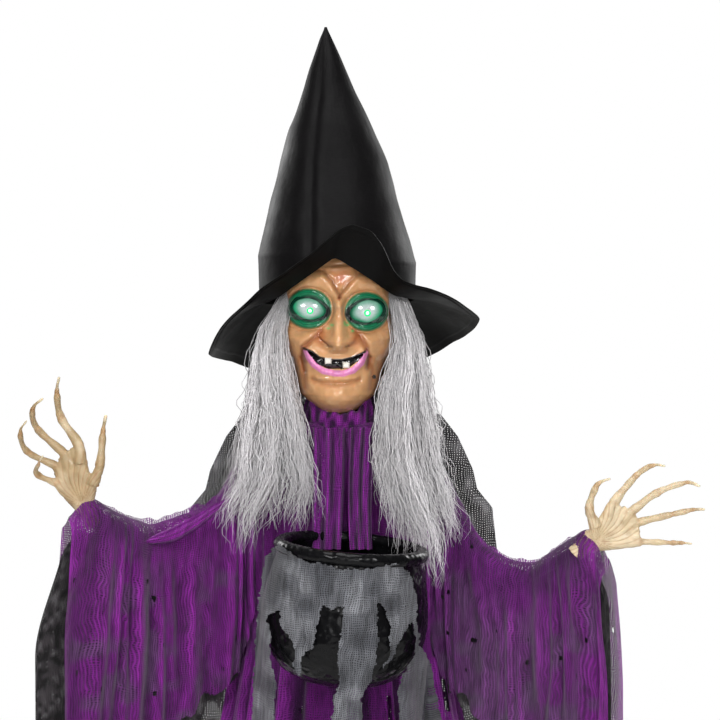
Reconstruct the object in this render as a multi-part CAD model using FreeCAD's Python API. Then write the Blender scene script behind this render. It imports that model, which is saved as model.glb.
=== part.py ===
import FreeCAD, Part
import math
import os

# Animated witch figure, life size, on a take-apart steel stand. Millimetres, +Z up.
# The figure faces -Y. Left and right are as seen from the front, so left is -X.
# The origin is on the floor, under the centre of the pole.

V = FreeCAD.Vector
Z_UP = V(0, 0, 1)
ORIGIN = V(0, 0, 0)

# ---- driving dimensions ----
TOTAL_HEIGHT = 1730.0  # floor to the tip of the hat
POLE_R, POLE_WALL = 12.5, 1.2
LEG_R, LEG_REACH = 10.0, 275.0  # the reach is along the diagonal, to the foot's centre
FOOT_R, FOOT_HEIGHT = 28.0, 27.0
STAKE_HOLE_R = 4.5
HUB_R, HUB_HEIGHT = 46.0, 48.0

SHOULDER_X, SHOULDER_Z = 150.0, 1060.0
PIN_R, ARM_TUBE_R, ARM_TUBE_WALL = 4.0, 8.0, 1.2

HEAD_R, HEAD_CENTRE_Z = 84.0, 1290.0
HEAD_BELOW, HEAD_ABOVE = 150.0, 114.0  # height of the egg under and over its widest place
HEAD_Y = -5.0  # the split between the mask and the rear shell
SHELL = 2.5
EYE_X, EYE_Z, EYE_Y, EYE_R = 43.5, 1291.0, -54.0, 26.0

HAT_X, HAT_Y = -5.0, 10.0
HAT_BAND_R, HAT_BAND_Z, HAT_BASE_Z = 120.0, 1366.0, 1322.0
CLOTH = 3.0  # thickness given to every cloth solid

POT_X, POT_Y, POT_ROLL = 7.0, -195.0, 4.8  # the pot hangs a little rolled to the right
POT_R, POT_WALL = 119.0, 3.0
POT_BOTTOM_Z, POT_BELLY_Z, POT_RIM_Z = 758.0, 850.0, 951.0
POT_RIM_R, POT_LIP_R = 103.0, 9.5

MODULE, PRESSURE_ANGLE, BACKLASH = 1.0, 25.0, 0.16
NECK_TEETH, IDLER_SMALL, IDLER_LARGE, PINION_TEETH = 48, 12, 36, 12
GEAR_Z = 1063.0  # underside of the lowest gear

HOUSING = dict(x=50.0, y0=-38.0, y1=57.0, z0=1020.0, z1=1100.0, wall=2.5)
SPLIT_Y = 12.0

BOX_X, BOX_Y0, BOX_Y1, BOX_Z0, BOX_Z1 = 45.0, -64.0, -13.2, 430.0, 560.0  # control box
BOX_WALL = 2.5

WRIST_LEFT = V(-370, -190, 1013)
WRIST_RIGHT = V(365, -190, 961)
ELBOW_LEFT = V(-308, -66, 925)
ELBOW_RIGHT = V(266, -62, 876)
# each arm hangs steeply from the shoulder before it reaches out, and bends here first
BICEP_LEFT = V(-196, -30, 966)
BICEP_RIGHT = V(190, -30, 950)

nodes = {}


def add(name, *solids):
    nodes[name] = solids[0] if len(solids) == 1 else Part.makeCompound(list(solids))


# ---- small makers ----
def cyl(radius, start, end):
    return Part.makeCylinder(radius, (end - start).Length, start, end - start)


def cone(r1, r2, start, end):
    if abs(r1 - r2) < 1e-6:
        return cyl(r1, start, end)
    return Part.makeCone(r1, r2, (end - start).Length, start, end - start)


def ring(r_out, r_in, z0, z1, x=0.0, y=0.0):
    a, b = V(x, y, z0), V(x, y, z1)
    return cyl(r_out, a, b).cut(cyl(r_in, a - Z_UP, b + Z_UP))


def box(x0, x1, y0, y1, z0, z1):
    return Part.makeBox(x1 - x0, y1 - y0, z1 - z0, V(x0, y0, z0))


def fuse(first, *rest):
    return first.multiFuse(list(rest)).removeSplitter()


def loft(sections):
    """A closed solid through polygons that all have the same number of corners."""
    wires = [Part.makePolygon([*points, points[0]]) for points in sections]
    return Part.makeLoft(wires, True, True)


def sheet(rows, thickness, normal):
    """A bent sheet: rows of points, each row thickened along normal."""
    push = normal * thickness
    return loft([[*row, *[p + push for p in reversed(row)]] for row in rows])


def rounded_path(points, radius):
    """Straight runs between points, joined by tangent arcs."""
    edges, at = [], points[0]
    for before, corner, after in zip(points, points[1:], points[2:]):
        into = (corner - before).normalize()
        out = (after - corner).normalize()
        half = into.getAngle(out) / 2
        if half < 0.001:
            continue
        back = radius * math.tan(half)
        start, end = corner - into * back, corner + out * back
        inward = (out - into).normalize()
        middle = corner + inward * (radius / math.cos(half) - radius)
        edges.append(Part.LineSegment(at, start).toShape())
        edges.append(Part.Arc(start, middle, end).toShape())
        at = end
    edges.append(Part.LineSegment(at, points[-1]).toShape())
    return Part.Wire(edges)


def swept(points, radius, bend):
    path = rounded_path(points, bend)
    profile = Part.Wire(Part.makeCircle(radius, points[0], points[1] - points[0]))
    return path.makePipeShell([profile], True, False)


def circle_of(count, start=0.0):
    return [math.radians(start + 360.0 * i / count) for i in range(count)]


# ---- stand ----
def make_stand():
    hub = cyl(HUB_R, ORIGIN, V(0, 0, HUB_HEIGHT))
    hub = fuse(hub, cone(26, 18, V(0, 0, HUB_HEIGHT - 1), V(0, 0, 105)))
    hub = hub.cut(cyl(POLE_R + 0.1, V(0, 0, 30), V(0, 0, 110)))
    feet, legs = [], []
    for angle in circle_of(4, 45):
        out = V(math.cos(angle), math.sin(angle), 0)
        up = V(0, 0, 17)
        socket = cyl(LEG_R + 0.1, up + out * 22, up + out * (HUB_R + 5))
        hub = hub.cut(socket)
        leg = cyl(LEG_R, up + out * 22.5, up + out * (LEG_REACH - 12))
        legs.append(leg.cut(cyl(LEG_R - POLE_WALL, up + out * 20, up + out * LEG_REACH)))
        centre = out * LEG_REACH
        foot = cyl(FOOT_R, centre, centre + V(0, 0, 6))
        foot = fuse(foot, cyl(LEG_R + 4, up + out * (LEG_REACH - 34), up + out * (LEG_REACH - 4)))
        foot = foot.common(box(-400, 400, -400, 400, 0, 60))
        foot = foot.cut(cyl(LEG_R + 0.1, up + out * (LEG_REACH - 40), up + out * (LEG_REACH - 11.5)))
        stake = centre + out * 12
        foot = foot.cut(cyl(STAKE_HOLE_R, stake - Z_UP, stake + V(0, 0, 40)))
        feet.append(foot)
    add("base_hub", hub)
    add("base_legs", *legs)
    add("foot_pads", *feet)

    bore = POLE_R - POLE_WALL
    spigot = 40.0

    def pole(z0, z1, with_spigot):
        tube = ring(POLE_R, bore, z0, z1)
        if not with_spigot:
            return tube
        neck = ring(bore - 0.1, bore - 1.3, z1, z1 + spigot)
        shoulder = ring(POLE_R, bore - 1.3, z1 - 2, z1)
        return fuse(tube, shoulder, neck)

    add("lower_pole", pole(30, 380, True))
    add("middle_pole", pole(380, 720, True))
    add("upper_pole", pole(720, HOUSING["z0"] - 3.2, False))
    sleeve = ring(POLE_R + 3, POLE_R + 0.1, 975, HOUSING["z0"] - 3)
    plate = box(-30, 30, -30, 30, HOUSING["z0"] - 3, HOUSING["z0"])
    add("pole_top_socket", fuse(sleeve, plate))


# ---- neck drive ----
def spur_gear(teeth, z0, width, bore, phase, centre=ORIGIN):
    """Involute stub-tooth gear, with the middle of a tooth at the phase angle in degrees."""
    pitch = MODULE * teeth / 2
    base = pitch * math.cos(math.radians(PRESSURE_ANGLE))
    tip, root = pitch + 0.8 * MODULE, pitch - 1.1 * MODULE

    def involute(radius):
        if radius <= base:
            return 0.0
        pressure = math.acos(base / radius)
        return math.tan(pressure) - pressure

    half_pitch = (math.pi * MODULE / 2 - BACKLASH) / 2 / pitch
    at_pitch = involute(pitch)
    steps = 5
    low = max(base, root)
    radii = [low + (tip - low) * i / steps for i in range(steps + 1)]
    flank = [(r, half_pitch + at_pitch - involute(r)) for r in radii]
    if root < base:
        flank.insert(0, (root, flank[0][1]))
    points = []
    for tooth in range(teeth):
        middle = math.radians(phase) + 2 * math.pi * tooth / teeth
        turns = [(r, middle - a) for r, a in flank] + [(r, middle + a) for r, a in reversed(flank)]
        points += [V(centre.x + r * math.cos(a), centre.y + r * math.sin(a), z0) for r, a in turns]
    face = Part.Face(Part.makePolygon([*points, points[0]]))
    gear = face.extrude(V(0, 0, width))
    return gear.cut(cyl(bore, V(centre.x, centre.y, z0 - 1), V(centre.x, centre.y, z0 + width + 1)))


def make_drive():
    h = HOUSING
    idler = V(0, MODULE * (NECK_TEETH + IDLER_SMALL) / 2, 0)
    pinion = idler + V(MODULE * (IDLER_LARGE + PINION_TEETH) / 2, 0, 0)
    shaft_r, axle_r, motor_shaft_r = 5.0, 2.0, 1.0
    small_z = GEAR_Z + 6.4

    neck = spur_gear(NECK_TEETH, small_z + 1, 6, shaft_r, 90)
    add("neck_gear", fuse(neck, ring(9, shaft_r, small_z + 7, small_z + 14)))
    small = spur_gear(IDLER_SMALL, small_z - 0.4, 8, axle_r + 0.06, -90 + 180 / IDLER_SMALL, idler)
    large = spur_gear(IDLER_LARGE, GEAR_Z, 6, axle_r + 0.06, 0, idler)
    add("idler_gear", fuse(small, large))
    add("motor_pinion", spur_gear(PINION_TEETH, GEAR_Z - 0.5, 7, motor_shaft_r + 0.05,
                                  180 + 180 / PINION_TEETH, pinion))
    can = cyl(12.2, V(pinion.x, pinion.y, 1028), V(pinion.x, pinion.y, 1058.8))
    boss = cyl(3, V(pinion.x, pinion.y, 1058), V(pinion.x, pinion.y, 1060.5))
    spindle = cyl(motor_shaft_r, V(pinion.x, pinion.y, 1060), V(pinion.x, pinion.y, 1072))
    add("drive_motor", fuse(can, boss, spindle))
    add("idler_axle", cyl(axle_r, V(idler.x, idler.y, h["z0"] + h["wall"]),
                          V(idler.x, idler.y, h["z1"] - h["wall"])))
    add("neck_shaft", ring(shaft_r, 2.5, 1026, 1232))

    outer = box(-h["x"], h["x"], h["y0"], h["y1"], h["z0"], h["z1"])
    w = h["wall"]
    inner = box(-h["x"] + w, h["x"] - w, h["y0"] + w, h["y1"] - w, h["z0"] + w, h["z1"] - w)
    seat = ring(12, 8.02, h["z0"] + w, h["z0"] + w + 12)
    bosses = [cyl(5, V(x, h["y0"] + w, z), V(x, h["y1"] - w, z)) for x in (-42, 42) for z in (1028, 1092)]
    case = outer.cut(inner).multiFuse([seat, *bosses])
    case = case.cut(cyl(8.02, V(0, 0, h["z1"] - w - 1), V(0, 0, h["z1"] + 1)))
    screws = []
    for x in (-42, 42):
        for z in (1028, 1092):
            case = case.cut(cyl(1.7, V(x, h["y0"] + 8, z), V(x, h["y1"] + 1, z)))
            shank = cyl(1.6, V(x, SPLIT_Y - 16, z), V(x, h["y1"] + 0.1, z))
            screws.append(fuse(shank, cyl(3.2, V(x, h["y1"], z), V(x, h["y1"] + 2.2, z))))
    # the motor stands in a pocket in the case, on two ribs
    case = case.cut(cyl(12.4, V(pinion.x, pinion.y, 1027.9), V(pinion.x, pinion.y, 1062)))
    ribs = [box(pinion.x - 14, pinion.x + 14, y, y + 3, h["z0"] + w, 1027.9)
            for y in (pinion.y - 8, pinion.y + 5)]
    case = case.multiFuse(ribs)
    far = 200
    add("drive_housing_front", case.common(box(-far, far, -far, SPLIT_Y, 900, 1200)))
    add("drive_housing_rear", case.common(box(-far, far, SPLIT_Y, far, 900, 1200)))
    lower = ring(8, shaft_r + 0.05, h["z0"] + w + 2, h["z0"] + w + 12)
    upper = fuse(ring(8, shaft_r + 0.05, h["z1"] - w, h["z1"] + 0.1),
                 ring(11, shaft_r + 0.05, h["z1"], h["z1"] + 2.5))
    add("neck_bearings", lower, upper)
    return screws


# ---- shoulders and arms ----
def make_shoulders():
    pins = []
    for side, name in ((-1, "left"), (1, "right")):
        face = side * HOUSING["x"]
        x0, x1 = sorted((face, face + side * 3))
        plate = box(x0, x1, -16, 16, SHOULDER_Z - 24, SHOULDER_Z + 24)
        bar = cyl(8, V(face + side * 2, 0, SHOULDER_Z), V(side * 127, 0, SHOULDER_Z))
        x0, x1 = sorted((side * 124, side * 131))
        yoke = box(x0, x1, -10, 10, SHOULDER_Z - 10, SHOULDER_Z + 10)
        ears = []
        for y0 in (-10, 7):
            x0, x1 = sorted((side * 130, side * SHOULDER_X))
            ear = box(x0, x1, y0, y0 + 3, SHOULDER_Z - 10, SHOULDER_Z + 10)
            tip = cyl(10, V(side * SHOULDER_X, y0, SHOULDER_Z), V(side * SHOULDER_X, y0 + 3, SHOULDER_Z))
            ears += [ear, tip]
        bracket = fuse(plate, bar, yoke, *ears)
        hole = cyl(PIN_R + 0.05, V(side * SHOULDER_X, -20, SHOULDER_Z), V(side * SHOULDER_X, 20, SHOULDER_Z))
        add(f"shoulder_bracket_{name}", bracket.cut(hole))
        bolt = cyl(PIN_R, V(side * SHOULDER_X, -13, SHOULDER_Z), V(side * SHOULDER_X, 14, SHOULDER_Z))
        head = cyl(7, V(side * SHOULDER_X, -14, SHOULDER_Z), V(side * SHOULDER_X, -10.05, SHOULDER_Z))
        nut = cyl(7, V(side * SHOULDER_X, 10.05, SHOULDER_Z), V(side * SHOULDER_X, 16, SHOULDER_Z))
        pins.append(fuse(bolt, head, nut))
    add("shoulder_bolts", *pins)


def make_arm(name, side, bicep, elbow, wrist):
    pivot = V(side * SHOULDER_X, 0, SHOULDER_Z)
    along = (bicep - pivot).normalize()
    forearm = (wrist - elbow).normalize()
    start = pivot + along * 28
    outer = swept([start, bicep, elbow, wrist], ARM_TUBE_R, 40)
    inner = swept([start - along, bicep, elbow, wrist + forearm], ARM_TUBE_R - ARM_TUBE_WALL, 40)
    knuckle = cyl(9, pivot - V(0, 6.5, 0), pivot + V(0, 6.5, 0))
    flat = V(along.x, 0, along.z).normalize()
    across = V(-flat.z, 0, flat.x) * 8
    corners = [pivot + across, pivot - across, pivot - across + flat * 20, pivot + across + flat * 20]
    base = [p - V(0, 6.5, 0) for p in corners]
    tongue = Part.Face(Part.makePolygon([*base, base[0]])).extrude(V(0, 13, 0))
    plug = cyl(ARM_TUBE_R - ARM_TUBE_WALL + 0.1, pivot + along * 16, pivot + along * 42)
    arm = fuse(outer.cut(inner), knuckle, tongue, plug)
    collar = cyl(ARM_TUBE_R + 3.5, wrist - forearm * 20, wrist)
    collar = collar.cut(cyl(ARM_TUBE_R - 0.3, wrist - forearm * 25, wrist + forearm))
    arm = fuse(arm, collar).cut(cyl(PIN_R + 0.07, pivot - V(0, 20, 0), pivot + V(0, 20, 0)))
    add(f"arm_tube_{name}", arm)
    return forearm


# Each finger is the places of its joints from the wrist, (across, towards the viewer, up),
# and its radius at each joint. The last place is the nail's tip.
LEFT_FINGERS = {
    "thumb": ([(14, 8, 30), (25, 10, 60), (29, 6, 108), (34, 12, 131)], [9.0, 6.6, 5.2, 2.4]),
    "index": ([(-4, 6, 60), (-7, 4, 88), (-31, 8, 127), (-33, 28, 165), (-27, 44, 187)],
              [9.0, 8.0, 6.6, 5.0, 2.0]),
    "middle": ([(-14, 2, 55), (-29, 0, 75), (-66, 8, 112), (-66, 34, 142), (-49, 48, 157)],
               [8.0, 6.4, 5.8, 4.6, 1.8]),
    "ring": ([(-20, 0, 42), (-40, -2, 56), (-80, 8, 78), (-84, 36, 108), (-72, 50, 126)],
             [8.0, 5.8, 5.2, 4.2, 1.6]),
    "little": ([(-18, 2, 24), (-38, 4, 32), (-65, 14, 46), (-57, 40, 65), (-49, 52, 76)],
               [7.5, 5.4, 4.8, 3.6, 1.6]),
}
RIGHT_FINGERS = {
    "thumb": ([(2, 8, 22), (-8, 14, 50), (2, 24, 84), (19, 34, 94)], [9.0, 6.6, 4.8, 2.0]),
    "index": ([(18, 4, 34), (28, 4, 55), (60, 6, 95), (81, 18, 111), (97, 34, 112)],
              [8.5, 7.0, 5.6, 4.4, 2.0]),
    "middle": ([(34, 2, 28), (57, 2, 45), (92, 4, 71), (130, 16, 86), (147, 32, 83)],
               [8.0, 6.4, 6.0, 4.6, 2.2]),
    "ring": ([(38, 2, 14), (65, 2, 27), (113, 4, 39), (141, 14, 47), (155, 28, 49)],
             [8.0, 6.2, 5.8, 4.6, 2.4]),
    "little": ([(36, 6, -2), (67, 8, 0), (110, 12, -1), (125, 20, 0), (137, 30, 0)],
               [7.5, 5.6, 4.8, 3.8, 2.0]),
}


def make_hand(name, wrist, forearm, fingers):
    start = wrist + forearm * 0.6
    shapes = [cyl(ARM_TUBE_R - ARM_TUBE_WALL - 0.1, wrist - forearm * 24, start + forearm * 6)]
    heel = start + forearm * 10
    shapes.append(Part.makeSphere(11.0, start + forearm * 11.2))
    for joints, radii in fingers.values():
        places = [V(wrist.x + a, wrist.y - b, wrist.z + c) for a, b, c in joints]
        shapes.append(cone(10.5, radii[0], heel, places[0]))
        for (a, b), (ra, rb) in zip(zip(places, places[1:]), zip(radii, radii[1:])):
            shapes.append(cone(ra, rb, a, b))
        shapes += [Part.makeSphere(r, p) for r, p in zip(radii[:-1], places[:-1])]
    hand = shapes[0].multiFuse(shapes[1:])
    reach = wrist - forearm * 0.2
    keep_off = cyl(ARM_TUBE_R + 14, reach - forearm * 26, wrist + forearm * 0.4)
    keep_off = keep_off.cut(cyl(ARM_TUBE_R - ARM_TUBE_WALL - 0.1, reach - forearm * 30, wrist + forearm))
    add(f"hand_{name}", hand.cut(keep_off))


# ---- head ----
def egg(shrink):
    """Solid of revolution for the head, its walls moved in by shrink."""
    r, steps = HEAD_R - shrink, 10
    points = []
    for reach, power, sign in ((HEAD_BELOW - shrink, 0.8, -1), (HEAD_ABOVE - shrink, 1.0, 1)):
        turns = [math.pi / 2 * i / steps for i in range(steps + 1)]
        arc = [V(r * math.cos(t) ** power, HEAD_Y, HEAD_CENTRE_Z + sign * reach * math.sin(t)) for t in turns]
        arc[-1].x = 0
        points += list(reversed(arc)) if sign < 0 else arc[1:]
    curve = Part.BSplineCurve()
    curve.interpolate(points)
    axis = Part.LineSegment(points[-1], points[0]).toShape()
    return Part.Face(Part.Wire([curve.toShape(), axis])).revolve(points[0], Z_UP, 360)


def make_head():
    outer, inner = egg(0), egg(SHELL)
    chin = Part.makeSphere(30, V(0, -52, 1164))
    nose = fuse(cone(15, 6, V(0, -78, 1262), V(2, -116, 1246)), Part.makeSphere(7.5, V(2, -116, 1245)))
    brow = cone(12, 12, V(-62, -58, 1326), V(-8, -82, 1318))
    brow_right = cone(12, 12, V(62, -58, 1326), V(8, -82, 1318))
    skin = outer.multiFuse([chin, nose, brow, brow_right]).cut(inner)
    neck_hole = cyl(26, V(0, 0, 1100), V(0, 0, 1176))
    skin = skin.cut(neck_hole)
    lenses, leds = [], []
    for side in (-1, 1):
        centre = V(side * EYE_X, EYE_Y, EYE_Z)
        skin = skin.cut(Part.makeSphere(EYE_R + 0.3, centre))
        back = box(centre.x - 40, centre.x + 40, EYE_Y, EYE_Y + 60, EYE_Z - 40, EYE_Z + 40)
        led_hole = cyl(2.6, centre, centre - V(0, 40, 0))
        dome = Part.makeSphere(EYE_R, centre).cut(Part.makeSphere(EYE_R - 1.5, centre)).cut(back).cut(led_hole)
        lenses.append(dome)
        tip = centre - V(0, EYE_R - 1, 0)
        leds.append(fuse(cyl(2.5, centre - V(0, 12, 0), tip), Part.makeSphere(2.5, tip)))
    mouth = box(-54, 36, -140, -40, 1197, 1233)
    skin = skin.cut(mouth)
    liner = egg(SHELL + 0.3).cut(egg(SHELL + 2.6))
    liner = liner.common(box(-58, 40, -140, -44, 1193.5, 1238))
    add("mouth_insert", liner)
    add("teeth", box(-25, -14, -78, -73, 1213, 1221), box(2, 13, -79, -74.5, 1207, 1214))
    add("eye_lens_left", lenses[0])
    add("eye_lens_right", lenses[1])
    add("eye_leds", *leds)

    plate_z = 1196.0
    frame = fuse(ring(56, 5.0, plate_z, plate_z + 3), ring(10, 5.0, plate_z + 3, plate_z + 20))
    screws = []
    for angle in circle_of(4, 45):
        out = V(math.cos(angle), math.sin(angle), 0)
        centre = V(0, HEAD_Y, plate_z - 4)
        lug = cyl(5, centre + out * 46, centre + out * 59)
        frame = fuse(frame, lug)
        hole = cyl(1.7, centre + out * 40, centre + out * 90)
        frame = frame.cut(hole)
        skin = skin.cut(hole)
        screws.append(fuse(cyl(1.6, centre + out * 50, centre + out * 70),
                           cyl(3.0, centre + out * 69.2, centre + out * 71.4)))
    cavity_front = box(-100, 100, -200, HEAD_Y, 1100, 1450)
    cavity_rear = box(-100, 100, HEAD_Y, 200, 1100, 1450)
    add("head_frame", frame)
    add("face_mask", skin.common(cavity_front))
    add("head_shell_rear", skin.common(cavity_rear))
    add("mask_screws", *screws)


# ---- hat ----
# Height, radius and sideways shift of the crown, from its seam up to the tip.
CROWN = [(HAT_BASE_Z, 118, 0), (HAT_BAND_Z, HAT_BAND_R, 0), (1453, 100, -3), (1506, 86, -4),
         (1569, 66, -6), (1629, 42, -9), (1699, 14, -15), (TOTAL_HEIGHT, 5, -17)]
# Direction in degrees from +X, then inner radius and height, then outer radius and height.
BRIM = [(0, 114, 1316, 220, 1278), (30, 113, 1306, 212, 1240), (60, 112, 1296, 206, 1196),
        (90, 112, 1292, 204, 1176), (120, 112, 1296, 204, 1184), (150, 113, 1306, 202, 1210),
        (180, 114, 1314, 199, 1228), (210, 112, 1324, 178, 1290), (235, 110, 1344, 158, 1340),
        (258, 106, 1366, 150, 1396), (278, 106, 1370, 150, 1414), (300, 108, 1352, 152, 1376),
        (318, 111, 1332, 166, 1322), (340, 113, 1320, 196, 1304)]


def crown_point(z, radius, shift, angle):
    rise = (z - HAT_BASE_Z) / (TOTAL_HEIGHT - HAT_BASE_Z)
    return V(HAT_X + shift + radius * math.cos(angle), HAT_Y + 10 * rise + radius * math.sin(angle), z)


def make_hat():
    count = 12
    gores = []
    turns = [math.radians(15 + 360 / count * i) for i in range(count + 1)]
    for a, b in zip(turns, turns[1:]):
        sections = []
        for z, radius, shift in CROWN:
            inside = radius - CLOTH
            sections.append([crown_point(z, radius, shift, a), crown_point(z, radius, shift, b),
                             crown_point(z, inside, shift, b), crown_point(z, inside, shift, a)])
        gores.append(loft(sections))
    add("hat_crown", *gores)
    rows = []
    for angle, r_in, z_in, r_out, z_out in [*BRIM, BRIM[0]]:
        out = V(math.cos(math.radians(angle)), math.sin(math.radians(angle)), 0)
        centre = V(HAT_X, HAT_Y, 0)
        p, q = centre + out * r_in + V(0, 0, z_in), centre + out * r_out + V(0, 0, z_out)
        up = V(0, 0, CLOTH)
        rows.append([p, q, q + up, p + up])
    panels = [loft([a, b]) for a, b in zip(rows, rows[1:])]
    # the brim is sewn inside the crown, so its inner edge stops short of the crown's cloth
    add("hat_brim", *panels)


# ---- cauldron ----
def pot_placement(shape):
    shape = shape.copy()
    shape.rotate(V(0, 0, POT_BELLY_Z), V(0, 1, 0), POT_ROLL)
    shape.translate(V(POT_X, POT_Y, 0))
    return shape


def pot_body(shrink):
    """The pot's solid of revolution about Z, its walls moved in by shrink."""
    low, rim = POT_BOTTOM_Z + shrink, POT_RIM_Z
    r = POT_R - shrink
    curve = Part.BSplineCurve()
    curve.interpolate([V(46 - shrink / 2, 0, low), V(r * 0.80, 0, low + 25), V(r, 0, POT_BELLY_Z),
                       V(r * 0.955, 0, 900), V(POT_RIM_R - shrink, 0, 936)])
    outline = [Part.LineSegment(V(0, 0, low), V(46 - shrink / 2, 0, low)).toShape(), curve.toShape(),
               Part.LineSegment(V(POT_RIM_R - shrink, 0, 936), V(POT_RIM_R - shrink, 0, rim)).toShape(),
               Part.LineSegment(V(POT_RIM_R - shrink, 0, rim), V(0, 0, rim)).toShape(),
               Part.LineSegment(V(0, 0, rim), V(0, 0, low)).toShape()]
    return Part.Face(Part.Wire(outline)).revolve(ORIGIN, Z_UP, 360)


def make_cauldron():
    pot = fuse(pot_body(0), Part.makeTorus(POT_RIM_R, POT_LIP_R, V(0, 0, POT_RIM_Z), Z_UP))
    inside = fuse(pot_body(POT_WALL), cyl(POT_RIM_R - POT_WALL, V(0, 0, 930), V(0, 0, 980)))
    pot = pot.cut(inside)
    holes = [cyl(2.1, V(x, 60, POT_BELLY_Z), V(x, 150, POT_BELLY_Z)) for x in (-22, 22)]
    pot = pot.cut(holes[0]).cut(holes[1])
    add("cauldron", pot_placement(pot))
    saddle = ring(POT_R + 4.2, POT_R + 0.6, POT_BELLY_Z - 14, POT_BELLY_Z + 14)
    saddle = saddle.common(box(-36, 36, 60, 200, 700, 1000)).cut(holes[0]).cut(holes[1])
    saddle = pot_placement(saddle)
    clamp = ring(POLE_R + 4, POLE_R + 0.05, POT_BELLY_Z - 14, POT_BELLY_Z + 10)
    near = POT_Y + POT_R
    bar = box(-3, 15, near + 2.5, -POLE_R - 1, POT_BELLY_Z - 8, POT_BELLY_Z + 4)
    add("cauldron_bracket", fuse(clamp, bar, saddle))
    screws = [fuse(cyl(2.0, V(x, 106, POT_BELLY_Z), V(x, 126, POT_BELLY_Z)),
                   cyl(4.0, V(x, 122.6, POT_BELLY_Z), V(x, 126, POT_BELLY_Z))) for x in (-22, 22)]
    wrap = ring(POT_R + 3.4, POT_R + 0.8, 872, 930)
    wrap = wrap.cut(box(-200, 200, 20, 200, 800, 1000))
    wrap = wrap.cut(fuse(pot_body(-0.5), Part.makeTorus(POT_RIM_R, POT_LIP_R + 0.5, V(0, 0, POT_RIM_Z), Z_UP)))
    add("cauldron_gauze", pot_placement(wrap))
    return [pot_placement(s) for s in screws]


# ---- control box ----
def make_control_box():
    x, y0, y1, z0, z1, w = BOX_X, BOX_Y0, BOX_Y1, BOX_Z0, BOX_Z1, BOX_WALL
    split = y0 + 22
    outer = box(-x, x, y0, y1, z0, z1)
    inner = box(-x + w, x - w, y0 + w, y1 - w, z0 + w, z1 - w)
    shell = outer.cut(inner)
    clamp = ring(POLE_R + 3, POLE_R + 0.05, 480, 510)
    sensor_hole = cyl(11.2, V(22, y0 - 1, 535), V(22, y0 + w + 1, 535))
    button_hole = box(-33.3, -14.7, y0 - 1, y0 + w + 1, 525.7, 544.3)
    slot = box(-9, 9, y0 - 1, y0 + w + 1, 440, 446)
    slots = [box(-24, 24, y0 - 1, y0 + w + 1, z, z + 2.5) for z in (468, 476, 484, 492, 500)]
    door_gap = box(-32.3, 32.3, y1 - w - 0.3, y1 + 1, z0 - 1, 474.3)
    front = shell.common(box(-200, 200, y0, split, 0, 900))
    for hole in (sensor_hole, button_hole, slot, *slots):
        front = front.cut(hole)
    rear = fuse(shell.common(box(-200, 200, split, y1, 0, 900)), clamp)
    rear = rear.cut(door_gap)
    add("control_box_front", front)
    add("control_box_rear", rear)
    add("battery_door", box(-32, 32, y1 - w, y1, z0, 474))
    add("power_switch", fuse(box(-3, 3, y0 - 3, y0 + w, 440.4, 445.6),
                             box(-12, 12, y0 + w + 0.2, y0 + w + 2.2, 438, 448),
                             box(-3, 3, y0 + w - 0.2, y0 + w + 0.4, 440.4, 445.6)))
    add("try_me_button", fuse(box(-33, -15, y0 - 2.5, y0 + w + 0.2, 526, 544),
                              box(-35, -13, y0 + w + 0.15, y0 + w + 1.5, 524, 546)))
    dome = Part.makeSphere(13, V(22, y0 + 6, 535)).common(box(0, 60, y0 - 20, y0 + w, 500, 580))
    add("motion_sensor_lens", dome.common(cyl(11, V(22, y0 - 20, 535), V(22, y0 + w, 535))))
    add("speaker", fuse(cyl(25, V(0, y0 + w + 0.2, 487), V(0, y0 + w + 4, 487)),
                        cone(24, 11, V(0, y0 + w + 4, 487), V(0, y0 + w + 13, 487)),
                        cyl(11, V(0, y0 + w + 13, 487), V(0, y0 + w + 19, 487))))
    add("circuit_board", box(-38, 38, y0 + 24, y0 + 25.6, 516, 555),
        box(-28, -20, y0 + 20, y0 + 24, 528, 536), box(6, 30, y0 + 25.6, y0 + 30, 524, 546))
    cells = []
    for i in (-1, 0, 1):
        a = V(i * 15.0, y1 - w - 9, 436.5)
        cell = fuse(cyl(7.1, a, a + V(0, 0, 35.5)), cyl(2.7, a + V(0, 0, 35), a + V(0, 0, 37)))
        cells.append(cell)
    add("batteries", *cells)
    route = [V(32, y0 + 32, z1), V(32, y0 + 32, 600), V(38, 30, 670), V(38, 30, 745), V(38, 30, 820),
             V(40, 26, 890), V(38, 24, 950), V(38, 24, HOUSING["z0"])]
    add("wiring_harness", swept(route, 2.4, 24))


# ---- costume ----
def costume_panel(levels, facing):
    """A front or back panel: each level is height, half width, depth at the middle and at the edge."""
    rows = []
    for z, half, middle, edge in levels:
        places = [(-1, edge), (-0.55, (2 * middle + edge) / 3), (0, middle), (0.55, (2 * middle + edge) / 3),
                  (1, edge)]
        rows.append([V(half * share, facing * depth, z) for share, depth in places])
    return sheet(rows, CLOTH, V(0, facing, 0))


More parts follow.
